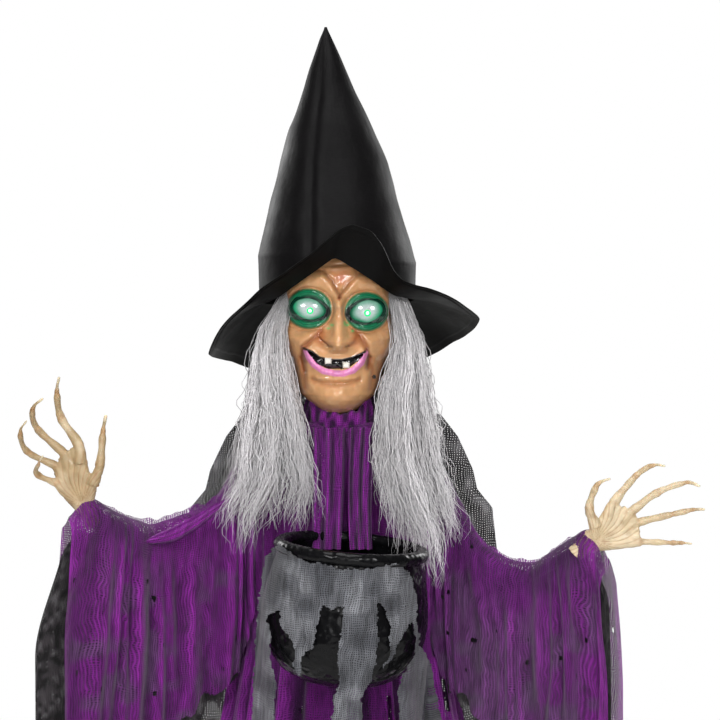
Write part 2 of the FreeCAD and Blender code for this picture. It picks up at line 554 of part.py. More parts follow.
def make_costume():
    front = costume_panel([(1088, 60, 58, 40), (1050, 132, 60, 22), (960, 140, 66, 26), (872, 145, 68, 30)], -1)
    back = costume_panel([(1088, 60, 66, 62), (1050, 132, 68, 36), (960, 140, 67, 30), (830, 145, 66, 32)], 1)
    add("robe_bodice", front, back)
    cape = costume_panel([(1112, 70, 80, 66), (1050, 168, 80, 44), (820, 215, 92, 44), (560, 270, 125, 54)], 1)
    add("cape", cape)

    strips = []
    count = 16
    top, hem = (815.0, 140.0, 58.0), (62.0, 250.0, 165.0)
    angles = [2 * math.pi * i / count for i in range(count + 1)]
    for a, b in zip(angles, angles[1:]):
        sections = []
        for z, along_x, along_y in (top, hem):
            inside_x, inside_y = along_x - CLOTH, along_y - CLOTH
            sections.append([V(along_x * math.cos(a), along_y * math.sin(a), z),
                             V(along_x * math.cos(b), along_y * math.sin(b), z),
                             V(inside_x * math.cos(b), inside_y * math.sin(b), z),
                             V(inside_x * math.cos(a), inside_y * math.sin(a), z)])
        strips.append(loft(sections))
    add("skirt", *strips)

    folds = []
    turns = [2 * math.pi * i / 8 for i in range(9)]
    for a, b in zip(turns, turns[1:]):
        sections = []
        for z, r_out, r_in in ((1106, 58, 34), (1118, 60, 36), (1129, 54, 40)):
            sections.append([V(r_out * math.cos(a), HEAD_Y + r_out * math.sin(a), z),
                             V(r_out * math.cos(b), HEAD_Y + r_out * math.sin(b), z),
                             V(r_in * math.cos(b), HEAD_Y + r_in * math.sin(b), z),
                             V(r_in * math.cos(a), HEAD_Y + r_in * math.sin(a), z)])
        folds.append(loft(sections))
    add("collar", *folds)

    levels = [(1104, -30, 30, -64), (1060, -38, 46, -72), (1000, -34, 48, -96), (966, -33, 47, -119),
              (925, -33, 47, -122)]
    rows = [[V(x0, y, z), V(x1, y, z)] for z, x0, x1, y in levels]
    add("bib", sheet(rows, CLOTH, V(0, -1, 0)))


def make_sleeve(name, side, elbow, wrist, hem_heights):
    """Cloth folded over the arm: an inverted U at the shoulder, the elbow and the wrist."""
    pivot = V(side * SHOULDER_X, 0, SHOULDER_Z)
    upper, fore = elbow - pivot, wrist - elbow
    places = [(pivot + upper * 0.2, upper), (elbow + fore * 0.08, upper + fore), (wrist - fore * 0.14, fore)]
    half, rise, t = 25.0, 20.0, CLOTH
    sections = []
    for (place, along), hem in zip(places, hem_heights):
        across = V(-side * along.y, side * along.x, 0).normalize()
        top = place.z + rise
        outline = [(-half, hem), (-half, top), (half, top), (half, hem), (half - t, hem), (half - t, top - t),
                   (t - half, top - t), (t - half, hem)]
        sections.append([V(place.x, place.y, z) + across * u for u, z in outline])
    add(f"sleeve_{name}", loft(sections))


def make_hair():
    def lock(levels):
        return loft([[V(x0, y0, z), V(x1, y0, z), V(x1, y1, z), V(x0, y1, z)] for z, x0, x1, y0, y1 in levels])

    add("hair_left", lock([(1296, -108, -90, -50, 30), (1210, -142, -92, -70, 20), (1120, -152, -70, -100, -42),
                           (1060, -158, -50, -124, -86), (978, -165, -36, -128, -98)]))
    add("hair_right", lock([(1296, 90, 108, -50, 30), (1210, 92, 146, -70, 20), (1120, 70, 160, -104, -42),
                            (1060, 56, 172, -130, -88), (975, 60, 192, -138, -98)]))
    add("hair_back", lock([(1284, -84, 84, 84, 100), (1200, -100, 100, 84, 118), (1110, -110, 110, 90, 124),
                           (985, -112, 112, 96, 126)]))


def make_all():
    make_stand()
    screws = make_drive()
    make_shoulders()
    for name, side, bicep, elbow, wrist, fingers, hems in (
        ("left", -1, BICEP_LEFT, ELBOW_LEFT, WRIST_LEFT, LEFT_FINGERS, (950, 720, 665)),
        ("right", 1, BICEP_RIGHT, ELBOW_RIGHT, WRIST_RIGHT, RIGHT_FINGERS, (950, 720, 665)),
    ):
        forearm = make_arm(name, side, bicep, elbow, wrist)
        make_hand(name, wrist, forearm, fingers)
        make_sleeve(name, side, elbow, wrist, hems)
    make_head()
    make_hat()
    screws += make_cauldron()
    make_control_box()
    add("frame_screws", *screws)
    make_costume()
    make_hair()


make_all()
os.makedirs("parts", exist_ok=True)
for old in os.listdir("parts"):
    os.remove(os.path.join("parts", old))
for name, shape in nodes.items():
    assert shape.isValid() and all(s.Volume > 0 for s in shape.Solids) and shape.Solids, name
    shape.exportStep(f"parts/{name}.step")
print(len(nodes), "nodes")
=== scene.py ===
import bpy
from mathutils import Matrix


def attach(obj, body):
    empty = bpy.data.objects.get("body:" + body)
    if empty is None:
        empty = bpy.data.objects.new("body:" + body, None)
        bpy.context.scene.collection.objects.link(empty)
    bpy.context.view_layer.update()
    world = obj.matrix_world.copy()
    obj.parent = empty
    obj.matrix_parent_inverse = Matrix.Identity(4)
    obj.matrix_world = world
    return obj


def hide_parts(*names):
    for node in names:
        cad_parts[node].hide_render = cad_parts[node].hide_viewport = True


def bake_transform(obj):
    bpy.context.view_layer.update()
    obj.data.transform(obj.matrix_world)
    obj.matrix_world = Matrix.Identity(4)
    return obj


bl_info = {
    "name": "Animated witch figure",
    "version": (1, 0, 0),
    "blender": (4, 5, 0),
    "location": "View3D > Sidebar > Witch",
    "description": "Builds the looks of a life-size animated witch figure on its packed frame",
    "category": "Add Mesh",
}

import itertools
import math

import bpy
import numpy as np

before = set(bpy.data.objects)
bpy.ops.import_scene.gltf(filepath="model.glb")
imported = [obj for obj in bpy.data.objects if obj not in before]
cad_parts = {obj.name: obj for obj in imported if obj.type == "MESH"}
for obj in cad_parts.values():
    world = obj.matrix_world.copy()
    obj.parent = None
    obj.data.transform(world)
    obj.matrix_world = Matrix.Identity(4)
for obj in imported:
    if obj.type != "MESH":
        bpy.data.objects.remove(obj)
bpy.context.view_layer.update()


# ---- colour, nodes and materials ----
def linear(code):
    """An sRGB hex colour as the linear colour that shaders use."""
    parts = [int(code[i:i + 2], 16) / 255 for i in (1, 3, 5)]
    return (*[c / 12.92 if c <= 0.04045 else ((c + 0.055) / 1.055) ** 2.4 for c in parts], 1.0)


def add(tree, kind, inputs=None, **settings):
    """Adds a node with its settings, and sets or links its inputs."""
    made = tree.nodes.new(kind)
    for name, value in settings.items():
        setattr(made, name, value)
    for key, value in (inputs or {}).items():
        if isinstance(value, bpy.types.NodeSocket):
            tree.links.new(value, made.inputs[key])
        else:
            made.inputs[key].default_value = value
    return made


def blank(name, **sockets):
    """A material with only a Principled shader. Keywords set the shader's sockets, with _ for a space."""
    material = bpy.data.materials.new(name)
    material.use_nodes = True
    tree = material.node_tree
    tree.nodes.clear()
    shader = add(tree, "ShaderNodeBsdfPrincipled", {k.replace("_", " "): v for k, v in sockets.items()})
    add(tree, "ShaderNodeOutputMaterial", {"Surface": shader.outputs[0]})
    return material, tree, shader


def moulded(name, colour, grain_mm, roughness, depth=0.15, metallic=0.0, coat=0.0, mottle=0.12):
    """A hard finish: a colour with faint mottling, and a grain of that size in its gloss and relief."""
    material, tree, shader = blank(name, Metallic=metallic, Coat_Weight=coat, Coat_Roughness=0.12)
    place = add(tree, "ShaderNodeTexCoord")
    cloud = add(tree, "ShaderNodeTexNoise", {"Vector": place.outputs["Object"], "Scale": 28.0, "Detail": 4.0})
    grain = add(tree, "ShaderNodeTexNoise",
                {"Vector": place.outputs["Object"], "Scale": 1000.0 / grain_mm, "Detail": 3.0})
    low, high = (tuple(min(1, c * (1 + s * mottle)) for c in linear(colour)[:3]) + (1,) for s in (-1, 1))
    paint = add(tree, "ShaderNodeMix", {0: cloud.outputs[0], 6: low, 7: high}, data_type="RGBA")
    gloss = add(tree, "ShaderNodeMapRange", {0: grain.outputs[0], 3: roughness - 0.07, 4: roughness + 0.07})
    relief = add(tree, "ShaderNodeBump", {"Height": grain.outputs[0], "Strength": depth, "Distance": 0.001})
    tree.links.new(paint.outputs[2], shader.inputs["Base Color"])
    tree.links.new(gloss.outputs[0], shader.inputs["Roughness"])
    tree.links.new(relief.outputs[0], shader.inputs["Normal"])
    return material


def painted_vinyl(name, roughness, coat, pore_mm, depth, wax):
    """Rotationally moulded vinyl, airbrushed: colour comes from the paint attribute, which also holds painted
    shade and highlights, broken up by fine speckle.
    """
    material, tree, shader = blank(name, Coat_Weight=coat, Coat_Roughness=0.1, Subsurface_Weight=wax,
                                   Subsurface_Scale=0.004)
    paint = add(tree, "ShaderNodeAttribute", attribute_name="paint")
    place = add(tree, "ShaderNodeTexCoord")
    cloud = add(tree, "ShaderNodeTexNoise", {"Vector": place.outputs["Object"], "Scale": 70.0, "Detail": 5.0})
    pores = add(tree, "ShaderNodeTexNoise",
                {"Vector": place.outputs["Object"], "Scale": 1000.0 / pore_mm, "Detail": 2.0})
    shade = add(tree, "ShaderNodeMapRange", {0: cloud.outputs[0], 1: 0.3, 2: 0.7, 3: 0.88, 4: 1.08})
    colour_and_painted_shading = add(tree, "ShaderNodeVectorMath", {0: paint.outputs["Color"], "Scale": shade.outputs[0]},
               operation="SCALE")
    gloss = add(tree, "ShaderNodeMapRange", {0: cloud.outputs[0], 3: roughness - 0.08, 4: roughness + 0.08})
    relief = add(tree, "ShaderNodeBump", {"Height": pores.outputs[0], "Strength": depth, "Distance": 0.0008})
    tree.links.new(colour_and_painted_shading.outputs[0], shader.inputs["Base Color"])
    tree.links.new(gloss.outputs[0], shader.inputs["Roughness"])
    tree.links.new(relief.outputs[0], shader.inputs["Normal"])
    return material


def gauze(name, thread_mm, cover, hole_mm, hole_share):
    """Creased cheesecloth, coloured by the paint attribute and the painted shade and light it holds: loose threads
    with gaps between them, darker and lighter streaks painted as the shade and light of creases, and small holes."""
    material, tree, shader = blank(name, Roughness=0.85, Sheen_Weight=0.15, Sheen_Roughness=0.5,
                                   Specular_IOR_Level=0.2)
    place = add(tree, "ShaderNodeUVMap", uv_map="cloth")
    paint = add(tree, "ShaderNodeAttribute", attribute_name="paint")
    # slow noise pulls the threads out of line, as washing and hanging does
    pull = add(tree, "ShaderNodeTexNoise", {"Vector": place.outputs[0], "Scale": 30.0, "Detail": 3.0})
    shift = add(tree, "ShaderNodeVectorMath", {0: pull.outputs["Color"], "Scale": 0.014}, operation="SCALE")
    moved = add(tree, "ShaderNodeVectorMath", {0: place.outputs[0], 1: shift.outputs[0]}, operation="ADD")
    threads = []
    for direction in ("X", "Y"):
        # one wave of the texture is 2 pi / 20 of a unit, so this gives one thread in each thread_mm
        wave = add(tree, "ShaderNodeTexWave",
                   {"Vector": moved.outputs[0], "Scale": 1000.0 / thread_mm * 0.314, "Distortion": 0.7,
                    "Detail": 2.0, "Detail Scale": 1.4}, bands_direction=direction)
        threads.append(wave.outputs["Fac"])
    cloth = add(tree, "ShaderNodeMath", {0: threads[0], 1: threads[1]}, operation="MAXIMUM")
    solid = add(tree, "ShaderNodeMapRange", {0: cloth.outputs[0], 1: 1 - cover, 2: 1.15 - cover})
    # streaks run down the cloth, five times as long as wide, as painted shade and light of creases
    stretch = add(tree, "ShaderNodeMapping", {"Vector": moved.outputs[0], "Scale": (130.0, 22.0, 1.0)})
    streak = add(tree, "ShaderNodeTexNoise", {"Vector": stretch.outputs[0], "Scale": 1.0, "Detail": 6.0,
                                              "Roughness": 0.65})
    tear = add(tree, "ShaderNodeTexNoise", {"Vector": moved.outputs[0], "Scale": 1000.0 / hole_mm * 0.35,
                                            "Detail": 2.0})
    whole = add(tree, "ShaderNodeMapRange", {0: tear.outputs[0], 1: hole_share, 2: hole_share + 0.02})
    alpha = add(tree, "ShaderNodeMath", {0: solid.outputs[0], 1: whole.outputs[0]}, operation="MULTIPLY")
    light = add(tree, "ShaderNodeMapRange", {0: streak.outputs[0], 1: 0.32, 2: 0.68, 3: 0.42, 4: 1.3})
    thread = add(tree, "ShaderNodeMapRange", {0: cloth.outputs[0], 1: 0.4, 2: 1.0, 3: 0.5, 4: 1.15})
    shade = add(tree, "ShaderNodeMath", {0: light.outputs[0], 1: thread.outputs[0]}, operation="MULTIPLY")
    colour_and_painted_shading = add(tree, "ShaderNodeVectorMath", {0: paint.outputs["Color"], "Scale": shade.outputs[0]},
               operation="SCALE")
    relief = add(tree, "ShaderNodeBump", {"Height": streak.outputs[0], "Strength": 0.6, "Distance": 0.004})
    fine = add(tree, "ShaderNodeBump", {"Height": cloth.outputs[0], "Strength": 0.35, "Distance": 0.001,
                                        "Normal": relief.outputs[0]})
    tree.links.new(colour_and_painted_shading.outputs[0], shader.inputs["Base Color"])
    tree.links.new(alpha.outputs[0], shader.inputs["Alpha"])
    tree.links.new(fine.outputs[0], shader.inputs["Normal"])
    return material


def satin(name, face, shadow):
    """Black polyester satin: smooth floats that catch a broad soft highlight, with a fine slub across it."""
    material, tree, shader = blank(name, Specular_IOR_Level=0.10)
    place = add(tree, "ShaderNodeUVMap", uv_map="cloth")
    # real floats are 0.2 mm, too fine to show, so the slub is drawn at 2.5 mm
    slub = add(tree, "ShaderNodeMapping", {"Vector": place.outputs[0], "Scale": (90.0, 420.0, 1.0)})
    floats = add(tree, "ShaderNodeTexNoise", {"Vector": slub.outputs[0], "Scale": 1.0, "Detail": 4.0})
    crush = add(tree, "ShaderNodeTexNoise", {"Vector": place.outputs[0], "Scale": 16.0, "Detail": 4.0})
    # the colour runs between the lit face colour and the shadow colour along the slub: painted light and shade on
    # the floats
    colour = add(tree, "ShaderNodeMix", {0: floats.outputs[0], 6: linear(shadow), 7: linear(face)},
                 data_type="RGBA")
    gloss = add(tree, "ShaderNodeMapRange", {0: crush.outputs[0], 1: 0.3, 2: 0.7, 3: 0.42, 4: 0.60})
    soft = add(tree, "ShaderNodeBump", {"Height": crush.outputs[0], "Strength": 0.25, "Distance": 0.01})
    relief = add(tree, "ShaderNodeBump", {"Height": floats.outputs[0], "Strength": 0.2, "Distance": 0.0006,
                                          "Normal": soft.outputs[0]})
    tree.links.new(colour.outputs[2], shader.inputs["Base Color"])
    tree.links.new(gloss.outputs[0], shader.inputs["Roughness"])
    tree.links.new(relief.outputs[0], shader.inputs["Normal"])
    return material


def fibre(name):
    """Drawn synthetic wig fibre: each strand has its own grey, with a silky highlight along it."""
    material, tree, shader = blank(name, Roughness=0.42, Sheen_Weight=0.3, Sheen_Roughness=0.4,
                                   Specular_IOR_Level=0.5)
    paint = add(tree, "ShaderNodeAttribute", attribute_name="paint")
    place = add(tree, "ShaderNodeTexCoord")
    # fibres are 0.1 mm, so the streaks that stand for them are drawn 1.5 mm apart
    stretch = add(tree, "ShaderNodeMapping", {"Vector": place.outputs["Object"], "Scale": (650.0, 650.0, 22.0)})
    streak = add(tree, "ShaderNodeTexNoise", {"Vector": stretch.outputs[0], "Scale": 1.0, "Detail": 2.0})
    shade = add(tree, "ShaderNodeMapRange", {0: streak.outputs[0], 1: 0.3, 2: 0.7, 3: 0.72, 4: 1.15})
    colour_and_painted_shading = add(tree, "ShaderNodeVectorMath", {0: paint.outputs["Color"], "Scale": shade.outputs[0]},
               operation="SCALE")
    tree.links.new(colour_and_painted_shading.outputs[0], shader.inputs["Base Color"])
    return material


def lit_lens(name, strength):
    """Clear moulded lens lit from behind: the paint attribute gives both its colour and its glow."""
    material, tree, shader = blank(name, Roughness=0.15, Coat_Weight=0.6, Coat_Roughness=0.04,
                                   Emission_Strength=strength)
    paint = add(tree, "ShaderNodeAttribute", attribute_name="paint")
    place = add(tree, "ShaderNodeTexCoord")
    cloud = add(tree, "ShaderNodeTexNoise", {"Vector": place.outputs["Object"], "Scale": 500.0, "Detail": 3.0})
    shade = add(tree, "ShaderNodeMapRange", {0: cloud.outputs[0], 1: 0.3, 2: 0.7, 3: 0.9, 4: 1.05})
    colour_and_painted_shading = add(tree, "ShaderNodeVectorMath", {0: paint.outputs["Color"], "Scale": shade.outputs[0]},
               operation="SCALE")
    tree.links.new(colour_and_painted_shading.outputs[0], shader.inputs["Base Color"])
    tree.links.new(colour_and_painted_shading.outputs[0], shader.inputs["Emission Color"])
    return material


def hammered_gloss(name, colour, dent_mm):
    """Blow-moulded black plastic with a hammered-iron texture under a wet gloss."""
    material, tree, shader = blank(name, Coat_Weight=0.06, Coat_Roughness=0.1, Specular_IOR_Level=0.12)
    place = add(tree, "ShaderNodeTexCoord")
    dents = add(tree, "ShaderNodeTexVoronoi",
                {"Vector": place.outputs["Object"], "Scale": 1000.0 / dent_mm, "Smoothness": 0.8},
                feature="SMOOTH_F1")
    dust = add(tree, "ShaderNodeTexNoise", {"Vector": place.outputs["Object"], "Scale": 60.0, "Detail": 6.0})
    paint = add(tree, "ShaderNodeMix", {0: dust.outputs[0], 6: linear(colour), 7: linear("#0E0E10")},
                data_type="RGBA")
    gloss = add(tree, "ShaderNodeMapRange", {0: dust.outputs[0], 1: 0.35, 2: 0.7, 3: 0.14, 4: 0.36})
    relief = add(tree, "ShaderNodeBump", {"Height": dents.outputs[0], "Strength": 0.5, "Distance": 0.004})
    tree.links.new(paint.outputs[2], shader.inputs["Base Color"])
    tree.links.new(gloss.outputs[0], shader.inputs["Roughness"])
    tree.links.new(relief.outputs[0], shader.inputs["Normal"])
    tree.links.new(relief.outputs[0], shader.inputs["Coat Normal"])
    return material


# ---- shaping ----
def together(*parts):
    """Points, or texture places, from an array for each axis."""
    return np.stack(np.broadcast_arrays(*parts), axis=-1)


def lumps(points, size, seed):
    """Smooth noise from -1 to 1 at points whose last axis is x, y, z, with lumps of that size."""
    table = np.random.default_rng(seed).uniform(-1, 1, (16, 16, 16))
    cell = np.asarray(points, float) / size
    low = np.floor(cell).astype(int)
    part = cell - low
    part = part * part * (3 - 2 * part)
    total = 0
    for corner in itertools.product((0, 1), repeat=3):
        near = np.where(corner, part, 1 - part).prod(axis=-1)
        i, j, k = np.moveaxis((low + corner) % 16, -1, 0)
        total = total + near * table[i, j, k]
    return total


def smooth(low, high, value):
    """0 below low, 1 above high, and an even curve between."""
    t = np.clip((value - low) / (high - low), 0, 1)
    return t * t * (3 - 2 * t)


def curve_at(table, value):
    """Reads a table of (position, value, value ...) rows at any positions, with straight lines between rows."""
    rows = np.array(sorted(table), float)
    read = [np.interp(value, rows[:, 0], rows[:, i]) for i in range(1, rows.shape[1])]
    return read[0] if len(read) == 1 else read


def along(path, count):
    """Count points evenly spaced along a smooth curve through the path's points."""
    p = np.array(path, float)
    p = np.vstack([2 * p[0] - p[1], p, 2 * p[-1] - p[-2]])
    fine = []
    for i in range(1, len(p) - 2):
        t = np.linspace(0, 1, 24, endpoint=False)[:, None]
        a, b, c, d = p[i - 1:i + 3]
        fine.append(0.5 * (2 * b + (c - a) * t + (2 * a - 5 * b + 4 * c - d) * t ** 2
                           + (3 * b - a - 3 * c + d) * t ** 3))
    fine = np.vstack([*fine, p[-2][None]])
    length = np.concatenate([[0], np.linalg.norm(np.diff(fine, axis=0), axis=1).cumsum()])
    want = np.linspace(0, length[-1], count)
    return together(*[np.interp(want, length, fine[:, i]) for i in range(p.shape[1])])


def apart(x, z, path):
    """How far each point is from a path of straight runs, in the front view."""
    best = np.full(np.shape(x), 1e9)
    for (ax, az), (bx, bz) in zip(path, path[1:]):
        dx, dz = bx - ax, bz - az
        t = np.clip(((x - ax) * dx + (z - az) * dz) / (dx * dx + dz * dz), 0, 1)
        best = np.minimum(best, np.hypot(x - ax - t * dx, z - az - t * dz))
    return best


def inside(x, z, outline):
    """True for each point inside a closed outline in the front view."""
    found = np.zeros(np.shape(x), bool)
    for (ax, az), (bx, bz) in zip(outline, [*outline[1:], outline[0]]):
        crosses = (az > z) != (bz > z)
        found ^= crosses & (x < (bx - ax) * (z - az) / (bz - az + 1e-12) + ax)
    return found


def strip_faces(rows, cols, close_rows=False, close_cols=False):
    """The quads of a grid of rows by cols points."""
    i = np.arange(rows if close_rows else rows - 1)[:, None]
    j = np.arange(cols if close_cols else cols - 1)[None, :]
    a, b = i * cols + j, i * cols + (j + 1) % cols
    c, d = ((i + 1) % rows) * cols + (j + 1) % cols, ((i + 1) % rows) * cols + j
    return together(a, b, c, d).reshape(-1, 4)


def full_turn(count):
    """Count angles evenly spaced round a full turn."""
    return 2 * np.pi * np.arange(count) / count


def disc(rows, cols):
    """How far out, from 0 to 1, and at which angle each point of a round grid lies."""
    return np.linspace(0, 1, rows)[:, None] * np.ones(cols), full_turn(cols)[None, :] * np.ones((rows, 1))


def without(faces, gone):
    """The faces that touch none of the points marked as gone."""
    return faces[~gone.ravel()[faces].any(axis=1)]


def show(name, data):
    """An object in the scene for a mesh, a lamp or a camera."""
    made = bpy.data.objects.new(name, data)
    bpy.context.scene.collection.objects.link(made)
    return made


def thicken(made, name, wall_mm, offset):
    """Gives a skin its wall: inwards with offset -1, outwards with 1, both ways with 0."""
    wall = made.modifiers.new(name, "SOLIDIFY")
    wall.thickness, wall.offset = wall_mm / 1000, offset


def piece(name, points_mm, faces, material, body=None, uv=None, paint=None):
    """A mesh from points in millimetres. uv and paint hold one row for each point."""
    points = np.asarray(points_mm, float).reshape(-1, 3) * 0.001
    faces = np.asarray(faces)
    used = np.unique(faces)
    renumber = np.full(len(points), -1)
    renumber[used] = np.arange(len(used))
    faces = renumber[faces]
    mesh = bpy.data.meshes.new(name)
    mesh.from_pydata(points[used].tolist(), [], faces.tolist())
    mesh.materials.append(material)
    mesh.shade_smooth()
    if uv is not None:
        layer = mesh.uv_layers.new(name="cloth")
        flat = np.asarray(uv, float).reshape(-1, 2)[used] * 0.001
        corner = np.zeros(len(mesh.loops), int)
        mesh.loops.foreach_get("vertex_index", corner)
        layer.data.foreach_set("uv", flat[corner].ravel())
    if paint is not None:
        layer = mesh.color_attributes.new(name="paint", type="FLOAT_COLOR", domain="POINT")
        colour = np.ones((len(used), 4))
        colour[:, :3] = np.asarray(paint, float).reshape(-1, 3)[used]
        layer.data.foreach_set("color", colour.ravel())
    made = show(name, mesh)
    if body:
        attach(made, body)
    return made


def tubes(paths, radii, sides=3):
    """Points and faces of tubes along many paths at once: paths (n, m, 3), radii (n, m)."""
    paths, radii = np.asarray(paths, float), np.asarray(radii, float)
    n, m = radii.shape
    forward = np.gradient(paths, axis=1)
    forward /= np.linalg.norm(forward, axis=2, keepdims=True) + 1e-9
    guide = np.where(np.abs(forward[:, :, 1:2]) > 0.9, [[[1.0, 0, 0]]], [[[0, 1.0, 0]]])
    side = np.cross(forward, guide)
    side /= np.linalg.norm(side, axis=2, keepdims=True) + 1e-9
    up = np.cross(side, forward)
    turn = full_turn(sides)
    around = (side[:, :, None] * np.cos(turn)[:, None] + up[:, :, None] * np.sin(turn)[:, None])
    points = paths[:, :, None] + around * radii[:, :, None, None]
    one = strip_faces(m, sides, close_cols=True)
    faces = (one[None] + (np.arange(n) * m * sides)[:, None, None]).reshape(-1, 4)
    caps = []
    for end, order in ((0, 1), (m - 1, -1)):
        ring = (end * sides + np.arange(sides))[::order]
        caps.append(ring[None] + (np.arange(n) * m * sides)[:, None])
    return points.reshape(-1, 3), faces, np.vstack(caps)


def tint(base, *layers):
    """Lays colours over a base, each (hex, amount from 0 to 1 at each point). A base may also be a linear colour."""
    shape = np.broadcast_shapes(*[np.shape(amount) for _, amount in layers])
    base = linear(base)[:3] if isinstance(base, str) else base
    colour = np.broadcast_to(np.array(base), (*shape, 3)).copy()
    for code, amount in layers:
        share = np.clip(np.broadcast_to(amount, shape), 0, 1)[..., None]
        colour = colour * (1 - share) + np.array(linear(code)[:3]) * share
    return colour


# ---- head ----
FACE_X = -5.5
# height, half width, depth in front of the split
FACE_SHAPE = [(1131, 5, 20), (1134, 17, 34), (1139, 28, 50), (1145, 35, 62), (1151, 42, 69), (1158, 51, 74),
              (1165, 58, 77), (1180, 64, 80), (1202, 69, 82), (1217, 74, 83), (1226, 79, 83), (1235, 83, 83),
              (1250, 86, 82), (1270, 86.5, 80), (1283, 85, 79), (1299, 82, 79), (1318, 82, 80), (1345, 80, 76),
              (1375, 72, 65), (1400, 58, 50)]
# the first wrinkle of an eye ring and the step to the next, as shares of the ring
FIRST_WRINKLE, WRINKLE_STEP = 0.82, 0.115
EYE_RINGS = [(-49.0, 1295.3, 33.7, 29.4), (38.1, 1290.9, 32.1, 28.7)]
EYE_WHITES = [(-49.0, 1295.0, 22.5, 15.4, 1), (38.3, 1291.3, 22.5, 16.2, -1)]
EYE_LIGHTS = [(-47.0, 1292.4), (39.2, 1288.9)]
MOUTH_TOP = [(-56.5, 1235.9), (-44, 1231), (-33, 1222.5), (-19, 1219), (-9, 1218.6), (1, 1218.6), (16, 1222),
             (31, 1228.4), (35.5, 1231)]
MOUTH_BOTTOM = [(33, 1224), (16, 1209.5), (1, 1204.5), (-21.5, 1205.5), (-36.5, 1212), (-47, 1225)]
LIP = [(-53, 1233), (-49, 1222), (-41, 1211), (-27, 1202), (-10, 1198.6), (3, 1198.4), (18, 1203), (30, 1214),
       (35.5, 1229)]
BROW_RIDGES = [[(-88, 1306), (-74, 1326), (-52, 1337), (-32, 1340), (-18, 1330), (-9, 1316), (-4, 1300)],
               [(76, 1304), (62, 1326), (42, 1336), (23, 1336), (11, 1325), (3, 1312), (-1, 1300)]]
BROW_CREASES = [[(-48, 1354), (-28, 1352), (-14, 1338), (-4, 1318), (-3, 1312)],
                [(38, 1350), (25, 1347), (12, 1335), (0, 1318), (-2, 1312)]]
CHEEK_ROLLS = [[(-82, 1254), (-62, 1250), (-38, 1256)], [(25, 1254), (46, 1248), (72, 1253)]]
SMILE_LINES = [[(-30, 1262), (-40, 1252), (-56, 1238), (-61, 1222), (-57, 1202)],
               [(20, 1262), (29, 1254), (37, 1238), (42, 1222), (40, 1206)]]
JAW_LINES = [[(-62, 1222), (-57, 1200), (-55, 1176)], [(45, 1220), (47, 1198), (44, 1174)]]
NOSE = [(1228, 0, 9), (1231, 10, 10), (1235, 25, 12), (1240, 32, 13), (1246, 33, 13.5), (1254, 28.5, 12.5),
        (1270, 21, 10.5), (1285, 15, 9.5), (1300, 10, 8.5), (1312, 6, 8), (1326, 0, 8)]


def eye_reach(x, z, white):
    """1 at the rim of an almond eye opening, less inside it and more outside."""
    cx, cz, half, tall, inner = white
    toward = (x - cx) * inner
    wide = np.where(toward > 0, half + 4, half)
    lift = z - cz + 0.12 * toward
    return np.sqrt((np.abs(x - cx) / wide) ** 1.7 + (np.abs(lift) / tall) ** 2)


